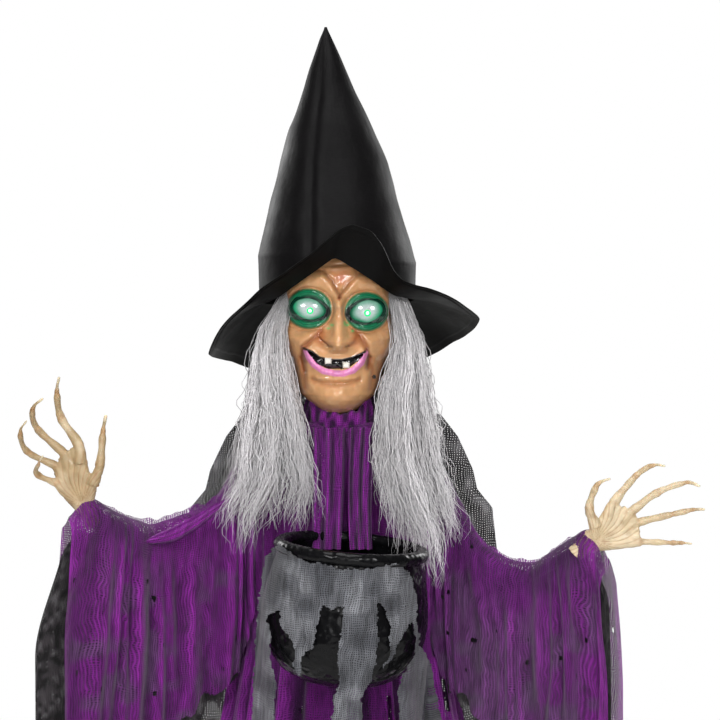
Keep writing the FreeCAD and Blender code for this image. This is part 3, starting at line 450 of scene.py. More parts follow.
def face_relief(x, z):
    """How far the skin stands out from the plain head, in millimetres, and the parts that its paint follows."""
    def line(path, width):
        return np.exp(-(apart(x, z, path) / width) ** 2)

    def mound(cx, cz, rx, rz):
        return np.exp(-((x - cx) / rx) ** 2 - ((z - cz) / rz) ** 2)

    out = np.zeros_like(x)
    rings = np.full_like(x, 9.0)
    rims = np.full_like(x, 9.0)
    for (cx, cz, rx, rz), white in zip(EYE_RINGS, EYE_WHITES):
        reach = np.hypot((x - cx) / rx, (z - cz) / rz)
        angle = np.arctan2(z - cz, x - cx)
        rings = np.minimum(rings, reach)
        rim = eye_reach(x, z, white)
        rims = np.minimum(rims, rim)
        out += 6.5 * np.exp(-((reach - 0.80) / 0.24) ** 2)
        folds = np.cos(2 * np.pi * (reach - FIRST_WRINKLE) / WRINKLE_STEP + 0.8 * np.sin(2 * angle + 1))
        out += 0.75 * folds * smooth(0.60, 0.70, reach) * (1 - smooth(0.98, 1.08, reach))
        out -= 3.2 * np.exp(-((reach - 1.08) / 0.07) ** 2)
        out -= 5.0 * smooth(1.16, 0.98, rim)
    for path in BROW_RIDGES:
        out += 6.0 * line(path, 8.5)
    creases = sum(line(path, 3.2) for path in BROW_CREASES)
    out -= 3.4 * creases
    for cx in (-30, 21):
        out += 3.0 * mound(cx, 1345, 17, 9)
    out -= 2.2 * mound(-1, 1340, 10, 16)
    for path in CHEEK_ROLLS:
        out += 6.5 * line(path, 10)
    out += 5.5 * (mound(-62, 1240, 24, 20) + mound(50, 1237, 24, 20))
    out -= 2.5 * (line([(-84, 1266), (-64, 1262), (-40, 1266)], 3)
                  + line([(28, 1263), (48, 1259), (72, 1264)], 3))
    smiles = sum(line(path, 4.2) for path in SMILE_LINES)
    out -= 5.0 * smiles
    jaws = sum(line(path, 4.0) for path in JAW_LINES)
    out -= 2.6 * jaws
    height, half = curve_at(NOSE, z)
    centre = FACE_X + 1.5
    out += height * np.exp(-(np.abs(x - centre) / half) ** 2.6)
    for side in (-1, 1):
        out += 10.0 * mound(centre + side * 18, 1248, 8.5, 8)
        out -= 6.0 * mound(centre + side * 13.5, 1239, 3.6, 2.8)
    out -= 3.0 * line([(-34, 1254), (-29, 1248), (-20, 1242)], 2.0)
    out += 5.0 * mound(-9, 1228, 32, 9)
    out += 5.5 * line(LIP, 5.6)
    out += 1.6 * line(MOUTH_TOP, 2.4)
    grooves = np.sin(np.arctan2(z - 1245, x + 10) * 46) * line(LIP, 4.5)
    out += 0.35 * grooves
    chin_line = line([(-44, 1188), (-26, 1183), (-9, 1182), (10, 1183), (27, 1188)], 4.6)
    out -= 4.0 * chin_line
    out += 2.2 * line([(-38, 1191), (-9, 1189), (22, 1191)], 4)
    out += 13.0 * mound(-7, 1160, 32, 22)
    out -= 1.8 * mound(-10.7, 1184, 2.0, 3.0)
    out -= 4.0 * (mound(-68, 1204, 12, 28) + mound(56, 1204, 12, 28))
    for height, lift in ((1357, 0.9), (1366, 0.8), (1374, 0.7)):
        out += lift * np.cos((z - height - 3 * np.sin(x / 19)) / 2.6) * np.exp(-((z - height) / 5) ** 2)
    out += 0.7 * lumps(together(x, z * 0, z), 9.0, 3)
    parts = {"ring": rings, "rim": rims, "crease": creases, "smile": smiles, "jaw": jaws, "chin": chin_line}
    return out, parts


def face_front(x, z):
    """Depth of the plain head in front of the split at points in the front view."""
    half, depth = curve_at(FACE_SHAPE, z)
    share = np.clip(1 - (np.abs(x - FACE_X) / half) ** 2, 0, 1)
    return -5 - depth * share ** 0.42


def make_face(skin, tan):
    """The vinyl mask, with its folds as relief, and as paint its colours, painted shade in its creases, round its
    eyes and on the sides of its jaw, and a painted highlight on its lower lip.
    """
    rows, cols = 300, 300
    turn = np.radians(np.linspace(-99, 99, cols))
    height = 1131 + 269 * np.linspace(0, 1, rows) ** 1.12
    turn, z = np.meshgrid(turn, height)
    half, depth = curve_at(FACE_SHAPE, z)
    x = FACE_X + half * np.sin(turn)
    facing = np.cos(turn)
    y = -5 - depth * np.sign(facing) * np.abs(facing) ** 0.84
    out, parts = face_relief(x, z)
    y = y - out * smooth(0.0, 0.5, facing)
    x = x + np.sign(turn) * 0.35 * out * smooth(0.55, 0.0, facing)
    points = together(x, y, z)
    opening = inside(x, z, MOUTH_TOP + MOUTH_BOTTOM)
    gone = (parts["rim"] < 1.0) | opening
    faces = strip_faces(rows, cols)
    faces = faces[~gone.ravel()[faces].all(axis=1)]

    def near(path, width):
        return np.exp(-(apart(x, z, path) / width) ** 2)

    ring, rim = parts["ring"], parts["rim"]
    fold = 0.5 + 0.5 * np.cos(2 * np.pi * (ring - FIRST_WRINKLE) / WRINKLE_STEP)
    green = 1 - smooth(0.98, 1.07, ring)
    patchy = lumps(points, 7.0, 5)
    nose_side = np.exp(-((np.abs(x - FACE_X - 1) - 27) / 9) ** 2 - ((z - 1252) / 13) ** 2)
    edge = smooth(0.62, 0.98, np.abs(x - FACE_X) / half)
    lips = near(LIP, 5.4) * (1 - near(MOUTH_TOP, 2.2))
    specks = sum(np.exp(-((x - cx) / sx) ** 2 - ((z - cz) / sz) ** 2)
                 for cx, cz, sx, sz in ((-14, 1271, 3, 2.2), (-19, 1266, 3, 1.4), (9, 1271, 3.4, 2.0),
                                        (17, 1262, 2.2, 1.8), (5, 1274, 1.6, 3)))
    paint = tint(
        tan,
        ("#E0B285", 0.45 * smooth(0.1, 0.7, patchy)),
        # painted shade on the sides of the jaw, below the cheeks
        ("#B4713F", 0.75 * smooth(0.35, 1.0, edge) * smooth(1262, 1205, z)),
        ("#9C5F38", 0.55 * smooth(1190, 1235, z) * smooth(1250, 1200, z) * edge),
        ("#B9683A", 0.85 * nose_side),
        ("#C0794C", 0.6 * np.exp(-((x + 1) / 22) ** 2 - ((z - 1345) / 22) ** 2)),
        ("#B4503A", 0.6 * np.exp(-((x - 1) / 9) ** 2 - ((z - 1341) / 7) ** 2)),
        # painted shade in the smile lines, jaw lines, brow creases (stronger on the left), chin crease, nostril
        # creases and nostrils
        ("#8A4A26", 0.8 * parts["smile"]),
        ("#93512C", 0.55 * parts["jaw"]),
        ("#6E3A22", 0.5 * parts["crease"] * smooth(40, -20, x) + 0.12 * parts["crease"]),
        ("#A86A40", 0.6 * parts["chin"]),
        ("#6A3018", 0.85 * near([(-33, 1253), (-28, 1248), (-20, 1242)], 1.7)),
        ("#8A4A28", 0.5 * near([(22, 1252), (18, 1245), (12, 1240)], 2.2)),
        ("#2A120C", 0.8 * (near([(-19, 1240), (-14, 1239)], 2.0) + near([(7, 1239), (11, 1240)], 1.8))),
        # painted shade in the groove round each eye ring
        ("#A0643C", 0.5 * np.exp(-((ring - 1.12) / 0.1) ** 2)),
        ("#0C8154", green),
        # painted shade in the ring's wrinkles, towards the socket and round the sunken edge of each eye opening
        ("#045038", green * 0.75 * fold * smooth(0.6, 0.75, ring)),
        ("#02140E", green * smooth(0.80, 0.60, ring) * 0.7),
        ("#050607", smooth(1.30, 1.15, rim)),
        ("#36C878", 0.8 * specks),
        # painted shade just outside the mouth corners
        ("#5A241C", 0.7 * near([(-60, 1238), (-58, 1230), (-56, 1216)], 3.4)),
        ("#5A241C", 0.7 * near([(38, 1234), (40, 1226), (39, 1212)], 3.2)),
        ("#E58AC0", smooth(0.34, 0.62, lips)),
        # painted highlight along the crest of the lower lip
        ("#F3A6D6", 0.6 * smooth(0.85, 1.0, lips) * smooth(-0.2, 0.6, lumps(points, 5.0, 8))),
        # painted shade along the top edge of the mouth opening
        ("#0A0406", smooth(0.35, 0.8, near(MOUTH_TOP, 2.4))),
    )
    mask = piece("face_skin", points, faces, skin, "head", paint=paint)
    thicken(mask, "wall", 1.6, -1)
    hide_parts("face_mask")


def make_eyes(lens, lamp):
    """Two painted eyeballs, each with a painted glow and painted rim shade, and a small light in front."""
    for side, white, (lx, lz) in zip(("left", "right"), EYE_WHITES, EYE_LIGHTS):
        cx, cz, half, tall, _ = white
        rows, cols = 40, 72
        reach, angle = disc(rows, cols)
        bend = np.radians(86) * reach
        x = cx + (half + 8) * np.sin(bend) * np.cos(angle)
        z = cz + (tall + 8) * np.sin(bend) * np.sin(angle)
        front = float(face_front(np.array([cx]), np.array([cz]))[0]) - 7.5
        y = front + 17 * (1 - np.cos(bend))
        points = together(x, y, z)
        rim = eye_reach(x, z, white)
        # the green towards the rim is a painted glow of the eye light, and the dark edge is painted shade where the
        # ball meets the mask
        glow = smooth(0.55, 1.0, rim) * (0.55 + 0.45 * smooth(-6, 6, np.abs(x - cx) - 12 - (z - cz) * 0.6))
        paint = tint("#C2CFCD", ("#A3C2B8", smooth(0.35, 0.8, rim)), ("#1F9A6C", glow),
                     ("#0B3A2A", smooth(0.96, 1.08, rim)))
        paint = paint * (0.94 + 0.06 * lumps(points, 1.6, 11))[..., None]
        ball = piece(f"eye_ball_{side}", points, strip_faces(rows, cols, close_cols=True), lens, "head",
                     paint=paint)
        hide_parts(f"eye_lens_{side}")
        # the light stands proud of the ball: a clear dome with a brighter ring at its foot
        rows, cols = 16, 40
        reach, angle = disc(rows, cols)
        radius = 5.6 * reach
        rise = np.interp(reach, [0, 0.42, 0.5, 0.62, 0.78, 0.9, 1.0], [3.1, 2.3, 1.0, 1.3, 1.9, 1.4, -1.5])
        depth = np.interp(np.hypot((lx - cx) / (half + 8), (lz - cz) / (tall + 8)), [0, 0.5], [0, 2.3])
        points = together(lx + radius * np.cos(angle), front + depth + 0.6 - rise, lz + radius * np.sin(angle))
        paint = tint("#F4FFF8", ("#7FF0B8", smooth(0.30, 0.44, reach)), ("#0FA95A", smooth(0.42, 0.56, reach)),
                     ("#3DBF86", smooth(0.84, 0.96, reach)), ("#C2CFCD", smooth(0.95, 1.0, reach)))
        light = piece(f"eye_light_{side}", points, strip_faces(rows, cols, close_cols=True), lamp, "head",
                      paint=paint)
        if side == "left":
            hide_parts("eye_leds")


def make_mouth(gum, enamel):
    """The black ridged inside of the mouth and its two square teeth."""
    rows, cols = 60, 130
    x, z = np.meshgrid(np.linspace(-61, 40, cols), np.linspace(1192, 1241, rows))
    y = face_front(x, z) + 6.5 + 8 * smooth(36, 48, np.abs(x + 10.5)) + 6 * smooth(18, 26, np.abs(z - 1217))
    ridge = np.abs(np.sin((x + 12) / 5.1 + 0.4 * np.sin(z / 4))) * np.exp(-((z - 1219) / 12) ** 2)
    y -= 6.0 * np.exp(-((z - 1212 - 0.006 * (x + 10) ** 2) / 8.5) ** 2) + 2.8 * ridge
    y -= 1.3 * lumps(together(x, y, z), 5.0, 21)
    back = piece("mouth_gums", together(x, y, z), strip_faces(rows, cols), gum, "head")
    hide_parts("mouth_insert")
    thicken(back, "wall", 1.6, 1)
    points, faces = [], []
    for cx, top, bottom, tilt in ((-19.6, 1222.5, 1212.4, 0.04), (7.2, 1216, 1206.3, -0.05)):
        rows, cols = 12, 14
        v, u = np.meshgrid(np.linspace(-1, 1, rows), np.linspace(-1, 1, cols), indexing="ij")
        px = cx + 5.6 * np.sign(u) * np.abs(u) ** 0.85 * (1 - 0.07 * (v < -0.6))
        pz = (top + bottom) / 2 + (top - bottom) / 2 * v + tilt * (px - cx)
        front = float(face_front(np.array([cx]), np.array([(top + bottom) / 2]))[0]) - 5.0
        py = front + 3.0 * np.maximum(np.abs(u), np.abs(v)) ** 6
        start = sum(len(p) for p in points)
        points.append(together(px, py, pz).reshape(-1, 3))
        faces.append(strip_faces(rows, cols) + start)
    teeth = piece("teeth_caps", np.vstack(points), np.vstack(faces), enamel, "head")
    thicken(teeth, "body", 5, -1)
    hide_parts("teeth")


# ---- hat ----
HAT_TIP = 1730
# height, centre, radius
CROWN = [(1290, -7.3, 120.6), (1320.8, -7.3, 120.3), (1365.9, -7.6, 121.3), (1376.7, -9.6, 119.6),
         (1432.5, -11.9, 104.8), (1443.4, -11.8, 102), (1520.7, -12.2, 82.2), (1573.2, -16.1, 64.8),
         (1616.4, -18.2, 47.8), (1641, -19.9, 37.8), (1668.8, -21.9, 26.6), (1711.8, -24.7, 9.6), (1730, -25, 1.4)]
# direction in degrees from +X, inner height, outer radius, outer height
BRIM = [(0, 1310, 220, 1278), (30, 1304, 212, 1240), (60, 1296, 206, 1196), (90, 1292, 204, 1176),
        (120, 1296, 204, 1184), (150, 1302, 202, 1210), (180, 1306, 203, 1226), (210, 1306, 178, 1288),
        (225, 1315, 164, 1324), (239, 1331, 154, 1345), (254.5, 1351, 150, 1371), (266, 1368, 150, 1396),
        (270, 1372, 150, 1405), (278, 1361, 150, 1417), (290, 1346, 150, 1408), (298, 1336, 150, 1381),
        (302, 1331, 151, 1354), (309, 1323, 154, 1334), (318, 1315, 166, 1325), (340, 1311, 196, 1304)]


def around(table, turn, blur=2.5):
    """Reads a table of (degrees, value ...) rows round a full turn, with its corners rounded."""
    rows = np.array(table, float)
    rows = np.vstack([rows - [360, *[0] * (rows.shape[1] - 1)], rows, rows + [360, *[0] * (rows.shape[1] - 1)]])
    offsets = np.linspace(-2 * blur, 2 * blur, 17)
    weight = np.exp(-(offsets / blur) ** 2)
    weight /= weight.sum()
    degrees = np.degrees(turn)
    return [sum(w * np.interp(degrees + o, rows[:, 0], rows[:, i]) for o, w in zip(offsets, weight))
            for i in range(1, rows.shape[1])]


def make_hat(cloth, brim_cloth):
    """The creased crown and the wide hemmed brim."""
    cols = 240
    turn = full_turn(cols)
    z_in, r_out, z_out = around(BRIM, turn)
    rows = 150
    t = np.linspace(0, 1, rows)[:, None]
    z = z_in + (HAT_TIP - z_in) * t
    centre, radius = curve_at(CROWN, z)
    where = together(np.cos(turn) * radius, np.sin(turn) * radius, z)
    soft = smooth(HAT_TIP, 1600, z) * smooth(0, 0.05, t)
    radius = radius + soft * (3.0 * lumps(where, 95, 31) + 1.0 * lumps(where, 34, 32))
    # one long soft crease down the front, with a flatter panel on its left
    crease = np.interp(z, [1447, 1517, 1710], [-45.3, -43.8, -25.9]) - centre
    off = np.cos(turn) * radius - crease
    front = smooth(0.2, -0.3, np.sin(turn))
    radius = radius - front * soft * (2.4 * np.exp(-(off / 6.0) ** 2) - 1.6 * np.exp(-((off - 15) / 12) ** 2)
                                      - 1.6 * np.exp(-((off + 20) / 16) ** 2))
    # a seam runs down the back
    back = np.abs((turn - np.pi / 2 + np.pi) % (2 * np.pi) - np.pi) * radius
    radius = radius + 1.0 * np.exp(-(back / 3) ** 2)
    points = together(centre + radius * np.cos(turn), 10 + radius * np.sin(turn), z)
    uv = together(np.broadcast_to(turn * 120, z.shape), z)
    crown = piece("hat_cone", points, strip_faces(rows, cols, close_cols=True), cloth, "head", uv=uv)
    thicken(crown, "cloth", 1.2, -1)
    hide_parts("hat_crown")
    rows = 60
    t = np.linspace(0, 1, rows)[:, None]
    start_x, start_r = curve_at(CROWN, z_in)
    r = start_r - 1.5 + (r_out - start_r + 1.5) * t
    drop = z_out - z_in
    z = z_in + drop * np.where(drop < 0, t ** 1.25, t ** 0.9)
    x = start_x + (-5 - start_x) * t + r * np.cos(turn)
    y = 10 + r * np.sin(turn)
    wave = smooth(0.15, 1, t)
    where = together(x, y, z * 0.3)
    z = z + wave * (4.5 * lumps(where, 70, 33) + 1.2 * lumps(where, 22, 34))
    # the edge is turned over and stitched 9 mm in
    z = z + 1.0 * smooth(0.885, 0.9, t) - 0.9 * np.exp(-((t - 0.885) / 0.012) ** 2)
    uv = together(np.broadcast_to(turn * 160, z.shape), r)
    brim = piece("hat_brim_cloth", together(x, y, z), strip_faces(rows, cols, close_cols=True),
                 brim_cloth, "head", uv=uv)
    thicken(brim, "cloth", 1.8, 0)
    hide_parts("hat_brim")


# ---- hair ----
HAIR_TOP, BACK_HAIR_TOP = 1330, 1318
# height, inner edge, outer edge, how far forward
HAIR_EDGES = {
    "left": [(1330, -70, -90, -30), (1310, -80, -92, -42), (1263, -86, -124, -62), (1227, -80, -137, -74),
             (1188, -72, -142, -82), (1158, -62, -147, -88), (1112, -46, -158, -96), (1041, -33, -172, -104),
             (990, -28, -204, -114), (950, -24, -214, -136), (920, -24, -214, -165)],
    "right": [(1330, 62, 82, -30), (1308, 76, 98, -42), (1248, 82, 121, -62), (1203, 70, 131, -78),
              (1158, 54, 137, -88), (1069, 47, 153, -100), (1023, 56, 168, -112), (990, 62, 177, -128),
              (962, 64, 190, -160), (920, 66, 192, -214), (895, 66, 190, -226)],
}
# how far across from the inner edge, and the height where locks end there
HAIR_FEET = {"left": [(0, 962), (0.35, 955), (0.45, 934), (0.62, 922), (0.72, 950), (0.86, 938), (1, 986)],
             "right": [(0, 950), (0.25, 918), (0.4, 902), (0.55, 896), (0.75, 930), (1, 962)]}


def strands(locks, each, rng, spread, frizz):
    """Wavy tapered fibres round lock centre lines, (n, m, 3), with a grey for each."""
    n, m = len(locks), locks.shape[1]
    path = np.repeat(locks, each, axis=0)
    count = n * each
    t = np.linspace(0, 1, m)[None, :, None]
    aside = rng.normal(0, 1, (count, 1, 3)) * [spread, spread * 0.8, 0]
    pinch = 0.75 + 0.35 * np.sin(2 * np.pi * (t * rng.uniform(1.2, 2.6, (count, 1, 1)) + rng.random((count, 1, 1))))
    path = path + aside * np.where(t < 0.1, 0.6 + 4 * t, 1) * pinch * (0.75 + 0.6 * t ** 2)
    wild = np.where(rng.random((count, 1, 1)) < 0.10, 2.6, 1.0)
    for waves, size in ((1.4, 4.5), (3.3, 3.6), (7.5, 2.2), (15, 1.3)):
        phase = rng.random((count, 1, 3))
        speed = waves * rng.uniform(0.7, 1.3, (count, 1, 3))
        path = path + (frizz * size * wild * t ** 0.8 * np.sin(2 * np.pi * (speed * t + phase)) * [1, 0.8, 0.25])
    # shorter fibres end early, so that the foot thins out
    keep = rng.uniform(0.82, 1.0, count)
    at = np.linspace(0, 1, m)[None] * keep[:, None] * (m - 1)
    low = np.clip(at.astype(int), 0, m - 2)
    part = (at - low)[..., None]
    rows = np.arange(count)[:, None]
    path = path[rows, low] * (1 - part) + path[rows, low + 1] * part
    radius = rng.uniform(0.45, 0.85, (count, 1)) * np.interp(np.linspace(0, 1, m), [0, 0.8, 1], [1, 0.9, 0.15])
    return path, radius


def hair_piece(name, path, radius, shade, material, node):
    """One mesh of thin tubes, each strand in its own grey."""
    sides = 3
    points, faces, _ = tubes(path, radius, sides)
    grey = np.repeat(shade.reshape(-1, 3), sides, axis=0)
    made = piece(name, points, faces, material, paint=grey)
    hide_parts(node)
    return made


def make_hair(material, per_lock, grey):
    """Two masses in front of the shoulders, and the hair behind."""
    for side in ("left", "right"):
        rng = np.random.default_rng(41 if side == "left" else 42)
        count, m = 30, 40
        across = (np.arange(count) + rng.uniform(0.1, 0.9, count)) / count
        rng.shuffle(across)
        layer = rng.random(count)
        foot = np.interp(across, *zip(*HAIR_FEET[side])) + rng.uniform(-4, 22, count) + 30 * layer ** 3
        t = np.linspace(0, 1, m)[None]
        z = HAIR_TOP + (foot[:, None] - HAIR_TOP) * t
        drift = 0.07 * np.sin(2 * np.pi * (t * 1.3 + rng.random((count, 1)))) * t
        share = np.clip(across[:, None] + drift, 0.02, 1.0)
        inner, outer, front = curve_at(HAIR_EDGES[side], z)
        x = inner + (outer - inner) * (0.05 + 0.9 * share)
        bulge = 1 - (2 * share - 1) ** 2
        y = front - 14 * bulge * smooth(0, 0.3, t) + 42 * layer[:, None] * smooth(0.0, 0.25, t)
        y = y + 10 * (1 - bulge) * t
        locks = together(x, y, z)
        path, radius = strands(locks, per_lock, rng, 5.2, 1.0)
        deep = np.repeat(layer, per_lock)[:, None]
        lock_grey = np.repeat(rng.uniform(0.78, 1.1, count), per_lock)[:, None]
        # painted shade: the hair is darker high up under the brim and in the deeper layers
        under = smooth(HAIR_TOP, 1240, path[..., 2])
        light = lock_grey * (0.84 + 0.3 * rng.random((len(path), 1))) * (1 - 0.3 * deep) * (0.45 + 0.55 * under)
        shade = np.array(grey) * light[..., None]
        # the lower ends get a little of the robe's purple, a painted reflection of the robe
        low = 0.35 * smooth(1010, 930, path[..., 2])[..., None] * (rng.random((len(path), 1, 1)) < 0.5)
        shade = shade * (1 - low) + np.array(linear("#8F7396")[:3]) * low
        made = hair_piece(f"hair_strands_{side}", path, radius, shade, material, f"hair_{side}")
        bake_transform(made)
    rng = np.random.default_rng(43)
    count, m = 34, 34
    across = np.linspace(-1, 1, count) + rng.uniform(-0.03, 0.03, count)
    t = np.linspace(0, 1, m)[None]
    turn = across[:, None] * np.radians(112)
    foot = 985 + rng.uniform(-18, 18, count)[:, None] + 60 * np.abs(across[:, None]) ** 3
    z = BACK_HAIR_TOP + (foot - BACK_HAIR_TOP) * t
    wide = np.interp(z, [980, 1120, 1200, 1318], [96, 82, 84, 90])
    x = -3 + wide * np.sin(turn)
    y = np.interp(z, [980, 1110, 1180, 1318], [66, 42, 8, 0]) + np.interp(z, [980, 1120, 1200, 1318],
                                                                          [72, 76, 84, 92]) * np.cos(turn)
    y = np.where(np.abs(across[:, None]) > 0.8, np.maximum(y, -20), y)
    locks = together(x, y, z)
    path, radius = strands(locks, per_lock, rng, 5.5, 0.9)
    # painted shade: the hair behind the head is darker than in front, and darker still at its sides
    light = np.repeat(rng.uniform(0.5, 0.9, count), per_lock)[:, None] * (0.8 + 0.3 * rng.random((len(path), 1)))
    light = light * np.where(np.repeat(np.abs(across), per_lock)[:, None] > 0.72, 0.55, 1)
    shade = 0.83 * np.array(grey) * (light * np.ones(m))[..., None]
    made = hair_piece("hair_strands_back", path, radius, shade, material, "hair_back")
    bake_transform(made)


# ---- robe, cape and sleeves ----
# height, half width, depth to the front, depth to the back, from a middle line 5 mm in front of the pole
ROBE = [(1122, 66, 50, 52), (1108, 110, 56, 60), (1090, 142, 60, 68), (1040, 150, 62, 72), (872, 152, 62, 74),
        (800, 156, 62, 78), (700, 172, 84, 98), (500, 205, 116, 128), (300, 232, 138, 150), (60, 256, 158, 168)]
ROBE_TOP = 1122
# the cloth's purple, a lighter purple for painted light on crests, a darker purple for painted shade in hollows, and
# a greyer purple
PURPLE, PURPLE_PAINTED_LIGHT, PURPLE_PAINTED_SHADE, SHEER = "#6B1A75", "#94299F", "#2E0D36", "#5A4562"


def make_robe(cloth, purple):
    """The gathered robe from the shoulders to its torn hem."""
    rows, cols = 300, 480
    turn = full_turn(cols)
    z = np.linspace(ROBE_TOP, 70, rows)[:, None] * np.ones(cols)
    wide, front, back = curve_at(ROBE, z)
    loose = smooth(1080, 500, z)
    where = together(np.cos(turn) * 160, np.sin(turn) * 160, z * 0.16)
    drift = 0.5 * lumps(where, 90, 51)
    fold = ((2.5 + 6 * loose) * np.cos(21 * turn + 3 * drift)
            + (1.5 + 4 * loose) * np.cos(34 * turn + 5 * drift + 1))
    fold = fold * smooth(ROBE_TOP, 1100, z) * np.where((np.sin(turn) < 0) & (z > 760), 0.4, 1)
    depth = np.where(np.sin(turn) < 0, front, back)
    scale = 1 + fold / np.hypot(wide * np.cos(turn), depth * np.sin(turn))
    x = wide * np.cos(turn) * scale
    y = -5 + depth * np.sin(turn) * scale
    points = together(x, y, z)
    # torn strips: gaps open from the foot upwards
    gap = np.abs(np.sin(8 * turn + 0.7 * drift)) * 100 + 10 * lumps(points, 18, 52)
    torn = (gap < 26 * smooth(430, 90, z)) | (z < 92 + 34 * lumps(where * [1, 1, 0], 26, 53))
    faces = strip_faces(rows, cols, close_cols=True)
    faces = without(faces, torn)
    crest = smooth(2, 9, fold)
    # painted shade in the fold hollows and painted light on the crests
    paint = tint(purple, (PURPLE_PAINTED_SHADE, 0.85 * smooth(2, -8, fold)),
                 (PURPLE_PAINTED_LIGHT, 0.5 * crest * smooth(0.1, 0.6, drift + 0.5)),
                 (SHEER, 0.35 * smooth(0.25, 0.7, lumps(points, 60, 54))))
    uv = together(np.broadcast_to(turn * 190, z.shape), z)
    robe = piece("robe_body", points, faces, cloth, "stand", uv=uv, paint=paint)
    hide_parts("robe_bodice", "skirt")


def make_cape(cloth):
    """The dark cape behind the arms."""
    rows, cols = 150, 300
    q = np.linspace(-1, 1, cols)[None]
    t = np.linspace(0, 1, rows)[:, None]
    top = 1146 - 16 * np.abs(q) ** 2
    z = top + (560 - top) * t
    wide = curve_at([(1150, 128), (1130, 154), (1096, 181), (1043, 207), (1012, 215), (982, 240), (800, 262),
                     (560, 276)], z)
    wave = smooth(0, 0.3, t)
    x = q * wide + wave * 5 * np.sin(q * 17 + 1)
    y = np.interp(np.abs(q), [0, 0.4, 0.7, 1], [78, 74, 52, 12]) + 34 * smooth(0, 0.8, t)
    y = y + wave * (7 * np.cos(q * 30 + 2 * np.sin(t * 3)) + 4 * np.cos(q * 57))
    points = together(x, y, z)
    ragged = z < 585 + 26 * lumps(together(x, y * 0, z * 0), 22, 61)
    faces = strip_faces(rows, cols)
    faces = without(faces, ragged)
    uv = together(x, z)
    patch = lumps(points, 14, 62)
    paint = tint("#4A484A", ("#1D1B1D", 0.8 * smooth(0.0, 0.6, patch)),
                 ("#858386", 0.6 * smooth(0.1, 0.7, -patch)))
    cape = piece("cape_cloth", points, faces, cloth, "stand", uv=uv, paint=paint)
    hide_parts("cape")


# the line that each sleeve hangs from, shoulder to wrist, then down over the wrist
SLEEVE_TOPS = {
    "left": [(-112, -8, 1098), (-150, -18, 1072), (-178, -32, 1024), (-205, -44, 994), (-236, -58, 984),
             (-262, -70, 976), (-285, -84, 971), (-300, -98, 977), (-320, -128, 989), (-343, -160, 1006),
             (-364, -188, 1024), (-380, -200, 1012), (-392, -206, 995)],
    "right": [(112, -8, 1104), (146, -18, 1060), (170, -32, 1014), (189, -44, 978), (213, -56, 941),
              (236, -66, 925), (260, -76, 915), (294, -92, 916), (322, -124, 941), (350, -164, 968),
              (362, -186, 976), (376, -196, 950), (384, -202, 918)],
}
# share of the way to the wrist, foot of the front layer, foot of the back layer
SLEEVE_FEET = {"left": [(0, 850, 850), (0.2, 720, 730), (0.5, 640, 650), (0.8, 610, 620), (1, 600, 610)],
               "right": [(0, 850, 850), (0.2, 715, 725), (0.5, 640, 650), (0.8, 615, 620), (1, 600, 610)]}


def hanging(side, gap, foot_lift, out, seed, depth=1.0, cols=340, rows=230):
    """A cloth hung over an arm, its front and back falling to a ragged foot.
    gap is half the distance between front and back, out is how far its far edge swings outward, and depth scales
    its folds."""
    top = along(SLEEVE_TOPS[side], cols)
    u = np.linspace(0, 1, cols)
    ahead = np.gradient(top[:, :2], axis=0)
    ahead /= np.linalg.norm(ahead, axis=1, keepdims=True)
    hand = -1 if side == "left" else 1
    facing = together(ahead[:, 1], -ahead[:, 0]) * hand
    front, back = curve_at(SLEEVE_FEET[side], u)
    v = np.linspace(-1, 1, rows)[:, None]
    foot = np.where(v < 0, front, back) + foot_lift
    fall = np.abs(v) ** 1.15 * (top[:, 2] - foot)
    bend = np.clip(fall / gap, 0, np.pi / 2)
    lean = gap * np.sin(bend) * -np.sign(v)
    z = top[:, 2] - np.where(fall < gap * np.pi / 2, gap * (1 - np.cos(bend)), fall - gap * (np.pi / 2 - 1))
    length = u * 330
    free = smooth(10, 150, fall)
    sway = lumps(together(length + 0 * v, fall * 0.35, 300 * np.sign(v) + 0 * u), 60, seed)
    slack = lumps(together(length + 0 * v, fall * 0.2, 300 * np.sign(v) + 0 * u), 38, seed + 2)
    fold = free * ((4.5 + 2.5 * slack) * np.cos(length / 7.3 + 3.6 * sway)
                   + (3.0 + 2.5 * sway) * np.cos(length / 3.9 + 5 * slack + seed))
    fold = depth * (fold + smooth(0, 60, fall) * 4 * sway)
    # slack between the bodice and the elbow hangs in swags
    swag = (3.0 * np.sin(fall / 11 - 3 * np.abs(u - 0.55) * 6) * np.exp(-((u - 0.5) / 0.3) ** 2)
            * np.exp(-fall / 120))
    lean = lean + (fold + depth * swag * free) * np.where(v < 0, 1, -1)
    share = smooth(0.55, 1, u)
    x = top[:, 0] + facing[:, 0] * lean + hand * share * out * smooth(0, 200, fall)
    y = top[:, 1] + facing[:, 1] * lean
    points = together(x, y, z)
    uv = together(length + 0 * v, fall * np.sign(v))
    ragged = (z < foot + 16 + 20 * lumps(together(length + 0 * v, 0 * z, 200 * np.sign(v) + 0 * z),
                                         14, seed + 1))
    return points, uv, fold, fall, sway, u, v, ragged


